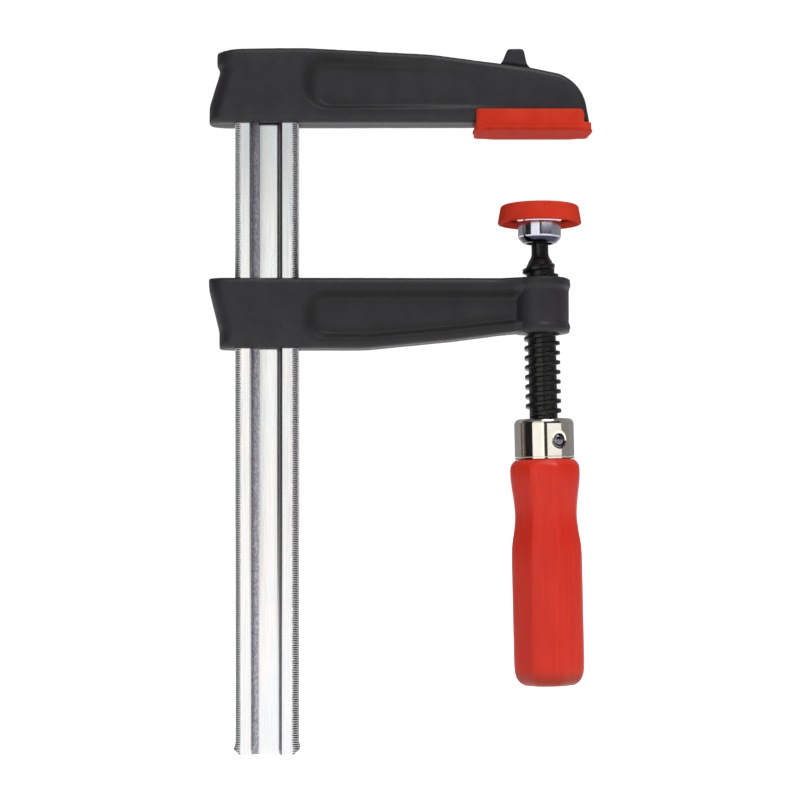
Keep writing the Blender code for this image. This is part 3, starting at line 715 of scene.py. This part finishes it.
FIXED_ARM_CORNERS = [
    (-132.6, 33.0, 0.8),
    (-126.6, 34.3, 12.0),
    (-96.6, 34.7, 80.0),
    (-44.6, 32.1, 80.0),
    (-3.6, 26.9, 60.0),
    (8.4, 24.4, 4.0),
    (18.2, 20.6, 17.0),
    (21.3, FIXED_BOTTOM, 0.8),
    (-135.9, FIXED_BOTTOM, 0.8),
    (-135.8, 11.0, 10.0),
    (-131.3, 25.8, 3.0),
    (-132.7, 28.2, 2.5),
]
LUG_CORNERS = [
    (-20.0, 24.0, 1.0),
    (-14.7, 29.6, 2.0),
    (-12.7, 34.6, 1.5),
    (-6.0, 34.6, 1.5),
    (-4.6, 28.4, 2.0),
    (2.5, 22.0, 1.0),
]
FIXED_LIP_CORNERS = [
    (-98.4, 32.2, 9.0),
    (-84.6, 31.9, 20.0),
    (-44.6, 29.6, 60.0),
    (-5.6, 25.4, 4.0),
    (-5.6, 8.6, 4.0),
    (-98.4, 8.6, 11.0),
]
FIXED_FLOOR_CORNERS = [
    (-90.6, 27.4, 5.0),
    (-82.6, 27.2, 20.0),
    (-44.6, 25.4, 60.0),
    (-9.6, 21.8, 2.0),
    (-9.6, 11.6, 2.0),
    (-90.6, 11.6, 6.0),
]


def fixed_arm(material):
    outline = rounded_outline(FIXED_ARM_CORNERS)
    piece = plate("fixed_arm_casting", outline, arm_half_thickness)
    left = FIXED_FLOOR_CORNERS[0][0]
    right = FIXED_FLOOR_CORNERS[3][0]

    def depth(x):
        """The hollow fades out towards the jaw."""
        return RECESS_DEPTH * (1 - 0.97 * max(0.0, (x - left) / (right - left)) ** 1.2)

    for cutter in hollow(FIXED_LIP_CORNERS, FIXED_FLOOR_CORNERS, depth):
        boolean(piece, cutter)
    lug = plate("lug", rounded_outline(LUG_CORNERS), lambda x: 6.0)
    boolean(piece, bevel(lug, 0.8, 2), "UNION")
    boolean(piece, flash_line(outline), "UNION")
    remesh(piece, CASTING_VOXEL)
    soften_sides(piece, outline)
    round_heel(piece)
    uneven(smooth(piece, 7))
    boolean(piece, rail_passage("socket", 0.3, FIXED_BOTTOM - 5, RAIL_HIGH.z + 0.3))
    to_jaw = lambda x: np.clip((right - x) / (right - left), 0, 1)
    mark_painted_wall_shade(piece, FIXED_LIP_CORNERS, FIXED_FLOOR_CORNERS, to_jaw)
    return finish_piece(piece, material, "painted_casting", "frame", "fixed_arm")


SLIDING_ARM_CORNERS = [
    (-136.2, 0.0, 0.8),
    (BOSS_X, 0.0, 0),
    (BOSS_X, -21.4, 0),
    (-8.6, -22.2, 20.0),
    (-35.6, -25.7, 80.0),
    (-71.6, -29.2, 80.0),
    (-131.8, -29.2, 0.8),
    (-131.8, -22.0, 14.0),
    (-136.0, -5.0, 20.0),
]
SLIDING_LIP_CORNERS = [
    (-98.6, -3.8, 10.0),
    (2.0, -3.8, 2.0),
    (2.0, -18.2, 2.0),
    (-35.6, -22.5, 60.0),
    (-69.6, -25.7, 60.0),
    (-98.6, -25.7, 10.0),
]
SLIDING_FLOOR_CORNERS = [
    (-89.6, -9.6, 4.0),
    (0.0, -9.0, 1.0),
    (0.0, -15.6, 1.0),
    (-35.6, -19.4, 60.0),
    (-67.6, -22.2, 60.0),
    (-89.6, -22.2, 5.0),
]


def from_arm_top(corners):
    return [(x, ARM_TOP + z, radius) for x, z, radius in corners]


def boss():
    """The round end of the sliding arm, with a rim at its top and bottom."""
    bottom = ARM_TOP - BOSS_HEIGHT
    profile = [
        (BOSS_RIM - 0.8, ARM_TOP + 0.3),
        (BOSS_RIM, ARM_TOP - 0.5),
        (BOSS_RIM, ARM_TOP - 3.0),
        (BOSS_RADIUS, ARM_TOP - 4.6),
        (BOSS_RADIUS, bottom + 4.4),
        (BOSS_RIM, bottom + 2.9),
        (BOSS_RIM, bottom + 1.2),
        (BOSS_RIM - 1.1, bottom),
    ]
    piece = turned("boss", profile, 96)
    piece.data.transform(Matrix.Translation((BOSS_X, 0, 0)))
    return piece


def boss_flash():
    """The parting line round the boss's far side."""
    bottom = ARM_TOP - BOSS_HEIGHT
    right = BOSS_X + BOSS_RADIUS
    outline = [
        (right - 8, ARM_TOP + 0.1),
        (right + 0.9, ARM_TOP + 0.1),
        (right + 1.2, ARM_TOP - 3.0),
        (right + 0.5, ARM_TOP - 4.6),
        (right + 0.5, bottom + 4.6),
        (right + 1.2, bottom + 3.4),
        (right + 1.2, bottom + 2.2),
        (right + 0.5, bottom + 1.9),
        (right + 1.0, bottom + 0.9),
        (right + 0.3, bottom + 0.2),
        (right - 8, bottom + 0.2),
    ]
    return plate("boss_flash", outline, lambda x: FLASH_HALF + 0.1)


def sliding_arm(material):
    outline = rounded_outline(from_arm_top(SLIDING_ARM_CORNERS))
    piece = plate("sliding_arm_casting", outline, arm_half_thickness)
    lip, floor = from_arm_top(SLIDING_LIP_CORNERS), from_arm_top(SLIDING_FLOOR_CORNERS)
    for cutter in hollow(lip, floor, lambda x: RECESS_DEPTH):
        boolean(piece, cutter)
    boolean(piece, flash_line(outline), "UNION")
    boolean(piece, boss(), "UNION")
    boolean(piece, boss_flash(), "UNION")
    remesh(piece, CASTING_VOXEL)
    soften_sides(piece, outline, end=-9.0)
    round_heel(piece)
    uneven(smooth(piece, 6))
    boolean(piece, rail_passage("window", 0.4, ARM_TOP - 40, ARM_TOP + 10))
    bore = turned("bore", [(CORE_RADIUS + THREAD_PLAY, -8), (CORE_RADIUS + THREAD_PLAY, -60)], 48)
    bore.data.transform(ON_AXIS)
    boolean(piece, bore)
    boolean(piece, nut_thread())
    mark_painted_wall_shade(piece, lip, floor, lambda x: np.clip((-9.0 - x) / 2.0, 0, 1))
    return finish_piece(piece, material, "painted_casting", "sliding_arm", "sliding_arm")


# Fixed arm's cap


def rectangle_ring(low_x, high_x, half_y, radius, height):
    """A rounded rectangle at a height, always with the same number of points."""
    steps = 10
    ring = []
    corners = [(high_x, half_y, 0), (low_x, half_y, 90), (low_x, -half_y, 180), (high_x, -half_y, 270)]
    for x, y, start in corners:
        centre_x = x - math.copysign(radius, x)
        centre_y = y - math.copysign(radius, y)
        for step in range(steps + 1):
            angle = math.radians(start + 90 * step / steps)
            ring.append((centre_x + radius * math.cos(angle), centre_y + radius * math.sin(angle), height))
    return ring


def fixed_arm_cap(material):
    half = CAP_HIGH.y
    edge = [(0.0, 1.7), (0.15, 1.1), (0.45, 0.55), (0.85, 0.15), (1.15, 0.0), (1.4, 0.05), (1.55, 0.35)]
    rings = [
        rectangle_ring(CAP_LOW.x + d, CAP_HIGH.x - d, half - d, CAP_FLANGE_CORNER - d, z) for z, d in edge
    ]
    piece = skin("fixed_cap_moulding", rings)
    top = CAP_HIGH.z
    floor = FIXED_BOTTOM - CAP_GAP
    left, right, half_band = CAP_BAND
    band_edge = [(0.2, 0.0), (top - 0.8, 0.0), (top - 0.25, 0.2), (top, 0.8)]
    rings = [
        rectangle_ring(left + d, right - d, half_band - d, CAP_BAND_CORNER - d, z) for z, d in band_edge
    ]
    band = skin("cap_band", rings)
    side = [(-40, -2, 0), (30, -2, 0), (30, floor, 0), (18.5, floor, 0), (18.5, top, 2.2), (left, top, 2.2)]
    boolean(band, plate("band_side", rounded_outline(side), lambda x: 15.0), "INTERSECT")
    boolean(piece, band, "UNION")
    inside = arm_half_thickness(CAP_LOW.x) + CAP_GAP
    boolean(piece, box("passage", (-50, -inside, floor), (50, inside, 30)))
    remesh(piece, CAP_VOXEL)
    smooth(piece, 3)
    return finish_piece(piece, material, "red_plastic", "frame", "fixed_arm_cap")


# Spindle


def thread_ridge(name, outer, play, bottom, top, fade_turns, segments):
    """A right-hand ridge of trapezoid section with eased crest edges, which fades out at its ends."""
    inner = CORE_RADIUS - 0.3
    crest_half = CREST_WIDTH / 2
    slope = math.tan(FLANK_ANGLE)
    first = math.ceil((bottom - CREST_PHASE) / PITCH * segments)
    last = math.floor((top - CREST_PHASE) / PITCH * segments)
    rings = []
    for index in range(first, last + 1):
        angle = 2 * math.pi * index / segments
        height = CREST_PHASE + PITCH * index / segments
        to_end = min(index - first, last - index) / segments
        share = 1.0 if fade_turns == 0 else min(1.0, 0.03 + to_end / fade_turns)
        crest = inner + (outer - inner) * share
        foot = crest_half + play + (outer - inner) * slope
        shoulder = crest_half + play + 0.2 * slope
        half_section = [(inner, foot), (crest - 0.2 * share, shoulder), (crest, crest_half + play - 0.12)]
        section = [(r, -w) for r, w in half_section] + [(r, w) for r, w in reversed(half_section)]
        rings.append([(r * math.cos(angle), r * math.sin(angle), height + w) for r, w in section])
    return skin(name, rings)


def nut_thread():
    """The nut's thread as a cutter."""
    piece = thread_ridge("nut_thread", CREST_RADIUS + THREAD_PLAY, FLANK_PLAY, -58, -7, 0, 24)
    piece.data.transform(ON_AXIS)
    return piece


def spindle(material):
    neck_angle = -math.degrees(math.acos(NECK_RADIUS / BALL_RADIUS))
    groove_angle = math.degrees(math.asin(0.75 / BALL_RADIUS))
    profile = arc((0, 0), BALL_RADIUS, 88, groove_angle, 16)
    profile += [(4.5, 0.75), (4.5, -0.75)]
    profile += arc((0, 0), BALL_RADIUS, -groove_angle, neck_angle, 8)
    profile += [(NECK_RADIUS, -9.4)]
    profile += arc((NECK_RADIUS + 5.2, -9.4), 5.2, 180, 219, 8)
    profile += [
        (CORE_RADIUS - 0.45, -14.3),
        (CORE_RADIUS, -15.0),
        (CORE_RADIUS, FERRULE_TOP - 0.4),
        (TANG_RADIUS, FERRULE_TOP - 1.1),
        (TANG_RADIUS, TANG_BOTTOM + 0.8),
        (TANG_RADIUS - 0.8, TANG_BOTTOM),
    ]
    piece = turned("spindle_screw", profile, 96)
    boolean(piece, thread_ridge("ridge", CREST_RADIUS, 0.0, THREAD_BOTTOM, THREAD_TOP, 0.45, 48), "UNION")
    return finish_piece(
        piece, material, "black_oxide_steel", "spindle", "spindle", place=ON_AXIS, sharp_angle=25
    )


# Pressure plate and its cap


def pressure_plate(material):
    profile = [
        (1.0, 7.8),
        (15.0, 7.8),
        (15.4, 7.4),
        (15.4, 5.9),
        (15.0, 5.5),
        (12.4, 5.3),
        (11.2, 5.2),
        (10.2, 4.8),
        (9.5, 4.2),
        (9.1, 3.6),
        (8.97, 3.2),
        (8.95, 3.0),
        (8.85, -2.6),
        (8.85, -2.8),
        (8.65, -3.3),
        (8.2, -4.0),
        (7.1, -5.15),
        (6.8, -5.4),
        (6.4, -5.6),
        (5.7, -5.65),
        (5.5, -5.5),
        (5.5, 3.6),
        (4.0, 5.1),
        (2.4, 5.5),
        (1.0, 5.5),
    ]
    piece = turned("pressure_plate_disc", profile, 160)
    return finish_piece(
        piece, material, "zinc_plated_steel", "pressure_plate", "pressure_plate", place=LEVEL, sharp_angle=25
    )


def pressure_plate_cap(material):
    profile = [(1.0, 10.1), (14.9, 10.1)]
    profile += arc((14.9, 8.7), 1.4, 84, 6, 6)
    profile += [(16.9, 5.4)]
    profile += arc((16.75, 2.95), 0.55, 10, -80, 5)
    profile += [(16.3, 2.4), (16.05, 2.6), (14.9, 4.1), (14.9, 4.8), (15.7, 5.3), (15.7, 8.1), (1.0, 8.1)]
    piece = turned("pressure_cap_moulding", profile, 160)
    return finish_piece(
        piece, material, "red_plastic", "pressure_plate", "pressure_plate_cap", place=LEVEL, sharp_angle=30
    )


# Ferrule, rivet and handle


def rivet_direction():
    return Vector((math.cos(RIVET_TURN), math.sin(RIVET_TURN), 0))


def dimpled(piece):
    """Presses the ferrule's wall in round both ends of the rivet."""
    points = coordinates(piece)
    heights = points[:, 2] - RIVET_HEIGHT
    direction = rivet_direction()
    along = points[:, 0] * direction.x + points[:, 1] * direction.y
    across = points[:, 1] * direction.x - points[:, 0] * direction.y
    distance = np.hypot(heights, across)
    depth = DIMPLE_DEPTH * np.clip((DIMPLE_RADIUS - distance) / 0.9, 0, 1) ** 1.5
    points[:, 0] -= np.sign(along) * direction.x * depth
    points[:, 1] -= np.sign(along) * direction.y * depth
    set_coordinates(piece, points)
    return piece


def rivet_hole(radius):
    piece = turned("hole", [(radius, 20), (radius, -20)], 48)
    piece.data.transform(rivet_place())
    return piece


def rivet_place():
    """From a rivet along Z to its place across the handle, in the spindle's upright frame."""
    turn = Matrix.Rotation(RIVET_TURN, 4, "Z") @ Matrix.Rotation(math.pi / 2, 4, "Y")
    return Matrix.Translation((0, 0, RIVET_HEIGHT)) @ turn


def ferrule(material):
    outside = FERRULE_RADIUS
    inside = outside - FERRULE_WALL
    hole = CORE_RADIUS + 0.3
    roof = FERRULE_TOP - FERRULE_WALL
    profile = [(hole + 0.3, FERRULE_TOP)]
    top = FERRULE_TOP - FERRULE_CORNER
    profile += arc((outside - FERRULE_CORNER, top), FERRULE_CORNER, 90, 0, 10)
    straight = 40
    bead = FERRULE_BOTTOM + 1.1
    profile += [(outside, top + (bead - top) * i / straight) for i in range(1, straight + 1)]
    profile += [(outside - 0.22, bead - 0.2), (outside, bead - 0.4), (outside, FERRULE_BOTTOM + 0.1)]
    profile += [(outside - 0.2, FERRULE_BOTTOM), (inside, FERRULE_BOTTOM), (inside, RIVET_HEIGHT)]
    profile += arc((inside - 1.3, roof - 1.3), 1.3, 0, 90, 4)
    profile += [(hole, roof), (hole, FERRULE_TOP - 0.3)]
    piece = dimpled(turned("ferrule_cup", profile, 256, closed=True))
    boolean(piece, rivet_hole(RIVET_HOLE + 0.05))
    return finish_piece(
        piece, material, "polished_nickel", "spindle", "ferrule", place=ON_AXIS, sharp_angle=30
    )


def rivet(material):
    """The dowel through ferrule, handle and tang, with a low domed head at each end."""
    dome = [
        (RIVET_RADIUS * math.sin(math.radians(a)), 10.6 + 2.0 * math.cos(math.radians(a)))
        for a in range(6, 91, 7)
    ]
    half = dome + [(RIVET_RADIUS, 8.8), (RIVET_SHANK, 8.6)]
    piece = turned("handle_rivet", half + [(r, -z) for r, z in reversed(half)], 48)
    return finish_piece(
        piece, material, "black_oxide_steel", "spindle", "handle_pin", place=ON_AXIS @ rivet_place()
    )


# Height, radius to the flats and how faceted the section is
HANDLE_SECTIONS = np.array(
    [
        (-95.4, 12.2, 0.0),
        (-96.4, 13.3, 0.35),
        (-97.4, 14.0, 0.65),
        (-98.8, 14.4, 1.0),
        (-104.0, 14.3, 1.0),
        (-112.5, 13.1, 1.0),
        (-119.3, 12.6, 1.0),
        (-124.5, 13.25, 1.0),
        (-130.5, 14.4, 1.0),
        (-136.0, 14.6, 1.0),
        (-182.4, 14.6, 1.0),
        (-185.3, 13.9, 1.0),
        (-187.4, 12.5, 1.0),
        (HANDLE_BOTTOM, 10.6, 0.9),
    ]
)


def handle_section(height):
    """The handle's section at a height, eased between the rows of HANDLE_SECTIONS."""
    rows = HANDLE_SECTIONS[::-1]
    to_end = min(rows[-1, 0] - height, height - rows[0, 0])
    reach = min(5.0, 0.6 * to_end)
    offsets = np.linspace(-1, 1, 21)
    weights = 1.001 - np.abs(offsets)
    return [
        float(np.average(np.interp(height + reach * offsets, rows[:, 0], rows[:, column]), weights=weights))
        for column in (1, 2)
    ]


def section_radius(angle, flat, facets):
    """Radius of an octagon with soft edges, one of them at angle 0; facets runs from 0, a circle, to 1."""
    side = 2 * math.pi / HANDLE_SIDES
    from_flat = (angle % side) - side / 2
    sharp = 1 / math.cos(from_flat)
    soft = (sharp**-EDGE_SHARPNESS + 1.058**-EDGE_SHARPNESS) ** (-1 / EDGE_SHARPNESS)
    level = (1 + 1.058**-EDGE_SHARPNESS) ** (-1 / EDGE_SHARPNESS)
    return flat * (1 + facets * (soft / level - 1))


def handle(material):
    count = HANDLE_SIDES * 16
    top, bottom = HANDLE_SECTIONS[0, 0], HANDLE_SECTIONS[-1, 0]
    heights = list(np.linspace(top, -100.0, 24)) + list(np.linspace(-101.0, -181.0, 81))
    heights += list(np.linspace(-181.5, bottom, 30))
    rings = []
    tenon = [(-79.8, 9.3, 0.0), (-81.4, 10.9, 0.0), (-95.4, 10.9, 0.0)]
    for height, flat, facets in tenon + [(height, *handle_section(height)) for height in heights]:
        angles = [2 * math.pi * i / count for i in range(count)]
        radii = [section_radius(angle, flat, facets) for angle in angles]
        rings.append([(r * math.cos(a), r * math.sin(a), height) for a, r in zip(angles, radii)])
    piece = skin("handle_grip", rings)
    piece.data.transform(Matrix.Rotation(HANDLE_TURN, 4, "Z"))
    boolean(piece, turned("tang_bore", [(TANG_RADIUS + 0.3, -70), (TANG_RADIUS + 0.3, -130)], 32))
    boolean(piece, rivet_hole(RIVET_SHANK + 0.3))
    for side in (-1, 1):
        counterbore = turned("counterbore", [(RIVET_HOLE, side * 20), (RIVET_HOLE, side * 8.5)], 48)
        counterbore.data.transform(rivet_place())
        boolean(piece, counterbore)
    centre_mark = turned("centre_mark", [(0.2, HANDLE_BOTTOM + 2.0), (2.4, HANDLE_BOTTOM - 0.2)], 32)
    boolean(piece, centre_mark)
    return finish_piece(
        piece, material, "red_lacquered_wood", "spindle", "handle", place=ON_AXIS, sharp_angle=30
    )


# Studio


def emitter(name, colour, strength):
    material = bpy.data.materials.new(name)
    material.use_nodes = True
    nodes = material.node_tree.nodes
    nodes.clear()
    light = nodes.new("ShaderNodeEmission")
    light.inputs["Color"].default_value = (*colour, 1.0)
    light.inputs["Strength"].default_value = strength
    output = nodes.new("ShaderNodeOutputMaterial")
    material.node_tree.links.new(light.outputs[0], output.inputs[0])
    return material


PANEL_RADIUS = 1.5
WARM = (1.0, 0.995, 0.97)
# Name, azimuth from and to (0 is in front, positive towards +X), lowest and highest point, colour, brightness
PANELS = [
    ("front_left_low", -50, -14, -0.6, 0.2, WARM, 1.22),
    ("front_middle_low", -14, -4, -0.6, 0.2, WARM, 1.4),
    ("front_left_high", -50, -4, 0.2, 1.2, (0.88, 0.95, 0.97), 0.95),
    ("camera_gap", -4, 8, -0.6, 1.2, (1.0, 0.95, 0.8), 0.05),
    ("front_right_low", 8, 66, -0.6, 0.05, WARM, 1.15),
    ("front_right_high", 8, 66, 0.05, 1.2, (0.65, 0.65, 1.0), 0.07),
    ("right", 66, 106, -0.6, 1.2, (1.0, 0.94, 1.0), 0.28),
    ("dark_left", -82, -50, -0.6, 1.2, (1.0, 1.0, 1.0), 0.015),
    ("brown_left", -106, -82, -0.6, 1.2, (1.0, 0.8, 0.65), 0.1),
]


def stage_light(name, vertices, faces, colour, brightness):
    """A glowing surface that the camera doesn't see."""
    sheet = new_piece(name, vertices, faces)
    sheet.data.materials.append(emitter(name, colour, brightness))
    sheet.visible_camera = False
    sheet.visible_shadow = False


def panel(name, start, end, low, high, colour, brightness):
    """An upright curved wall of light round the object."""
    steps = max(2, round((end - start) / 4))
    angles = [math.radians(start + (end - start) * i / steps) for i in range(steps + 1)]
    vertices = []
    for angle in angles:
        x, y = PANEL_RADIUS * math.sin(angle), -PANEL_RADIUS * math.cos(angle)
        vertices += [(x, y, low), (x, y, high)]
    faces = [(2 * i, 2 * i + 2, 2 * i + 3, 2 * i + 1) for i in range(steps)]
    stage_light(name, vertices, faces, colour, brightness)


BACKGROUND_BRIGHTNESS = 1.05
# Brightness of the surroundings by the height of the direction, from straight down to straight up
SKY = [(0.0, 0.06), (0.25, 0.12), (0.4, 0.30), (0.65, 0.30), (0.75, 0.35), (1.0, 0.15)]


def world():
    """White behind the object, and grey that darkens upwards and downwards for light and reflections."""
    made = bpy.data.worlds.new("studio")
    bpy.context.scene.world = made
    made.use_nodes = True
    nodes, links = made.node_tree.nodes, made.node_tree.links
    seen = nodes["Background"]
    seen.inputs["Color"].default_value = (1, 1, 1, 1)
    seen.inputs["Strength"].default_value = BACKGROUND_BRIGHTNESS
    direction = nodes.new("ShaderNodeTexCoord").outputs["Generated"]
    split = nodes.new("ShaderNodeSeparateXYZ")
    links.new(direction, split.inputs[0])
    upwards = nodes.new("ShaderNodeMapRange")
    links.new(split.outputs[2], upwards.inputs[0])
    upwards.inputs[1].default_value = -1
    ramp = nodes.new("ShaderNodeValToRGB")
    links.new(upwards.outputs[0], ramp.inputs[0])
    stops = ramp.color_ramp.elements
    for position, brightness in SKY[1:-1]:
        stops.new(position)
    for stop, (position, brightness) in zip(stops, SKY):
        stop.position = position
        stop.color = (brightness * 1.01, brightness * 0.98, brightness, 1)
    lit = nodes.new("ShaderNodeBackground")
    links.new(ramp.outputs[0], lit.inputs["Color"])
    path = nodes.new("ShaderNodeLightPath")
    mix = nodes.new("ShaderNodeMixShader")
    links.new(path.outputs["Is Camera Ray"], mix.inputs[0])
    links.new(lit.outputs[0], mix.inputs[1])
    links.new(seen.outputs[0], mix.inputs[2])
    links.new(mix.outputs[0], nodes["World Output"].inputs[0])


LIGHT_TARGET = (-0.05, 0, -0.1)
# Name, place, width, power in watts and whether bright surfaces mirror it
LIGHTS = [
    ("top_light", (0.2, -0.5, 1.1), 0.8, 9, True),
    ("fill_light", (0.45, -1.0, 0.45), 0.7, 3.4, False),
]


def area_light(name, place, size, watts, mirrored):
    data = bpy.data.lights.new(name, "AREA")
    data.shape = "DISK"
    data.size = size
    data.energy = watts
    light = bpy.data.objects.new(name, data)
    bpy.context.scene.collection.objects.link(light)
    light.location = place
    light.rotation_euler = (Vector(LIGHT_TARGET) - Vector(place)).to_track_quat("-Z", "Y").to_euler()
    light.visible_camera = False
    light.visible_glossy = mirrored


# How brightly the floor glows for every ray, and how much more for each kind, as a white table top would
FLOOR_BASE_GLOW = 0.5
FLOOR_GLOW = [("Is Camera Ray", 0.88), ("Is Diffuse Ray", 0.05), ("Is Glossy Ray", 0.5)]


def floor():
    """Pale, and bright enough for the camera to run into the white background."""
    half = 6.0
    height = RAIL_LOW.z * MM - 0.0002  # just under the rail's end
    corners = [(-half, -half), (half, -half), (half, half), (-half, half)]
    piece = new_piece("floor", [(x, y, height) for x, y in corners], [(0, 1, 2, 3)])
    material = bpy.data.materials.new("pale_floor")
    material.use_nodes = True
    nodes = material.node_tree.nodes
    shader = nodes["Principled BSDF"]
    shader.inputs["Base Color"].default_value = (0.45, 0.45, 0.45, 1)
    shader.inputs["Roughness"].default_value = 0.9
    shader.inputs["Specular IOR Level"].default_value = 0.1
    shader.inputs["Emission Color"].default_value = (1, 1, 1, 1)
    links = material.node_tree.links
    path = nodes.new("ShaderNodeLightPath")
    strength = None
    for kind, level in FLOOR_GLOW:
        term = nodes.new("ShaderNodeMath")
        term.operation = "MULTIPLY_ADD"
        term.inputs[1].default_value = level
        links.new(path.outputs[kind], term.inputs[0])
        if strength is None:
            term.inputs[2].default_value = FLOOR_BASE_GLOW
        else:
            links.new(strength, term.inputs[2])
        strength = term.outputs[0]
    links.new(strength, shader.inputs["Emission Strength"])
    piece.data.materials.append(material)


CAMERA_PLACE = (-0.0570, -0.8, -0.1516)
CAMERA_LENS = 86.7
CAMERA_SHIFT = 0.125


def camera():
    """Looks straight along +Y, with its picture shifted up."""
    data = bpy.data.cameras.new("camera")
    data.sensor_width = 36.0
    data.lens = CAMERA_LENS
    data.shift_y = CAMERA_SHIFT
    data.clip_start = 0.05
    made = bpy.data.objects.new("camera", data)
    bpy.context.scene.collection.objects.link(made)
    made.location = CAMERA_PLACE
    made.rotation_euler = (math.pi / 2, 0, 0)
    bpy.context.scene.camera = made


def main():
    bpy.context.scene.view_settings.view_transform = "Standard"
    casting = painted_casting()
    zinc = zinc_plate()
    black = black_oxide()
    nickel = polished_nickel()
    plastic = red_plastic()
    frame["nodes"]["snap_ring"].data.materials.clear()
    frame["nodes"]["snap_ring"].data.materials.append(spring_wire())
    rail(rolled_rail())
    fixed_arm(casting)
    fixed_arm_cap(plastic)
    sliding_arm(casting)
    spindle(black)
    pressure_plate(zinc)
    pressure_plate_cap(plastic)
    ferrule(nickel)
    rivet(rivet_steel())
    handle(red_lacquer())
    world()
    floor()
    for entry in PANELS:
        panel(*entry)
    for entry in LIGHTS:
        area_light(*entry)
    camera()


main()
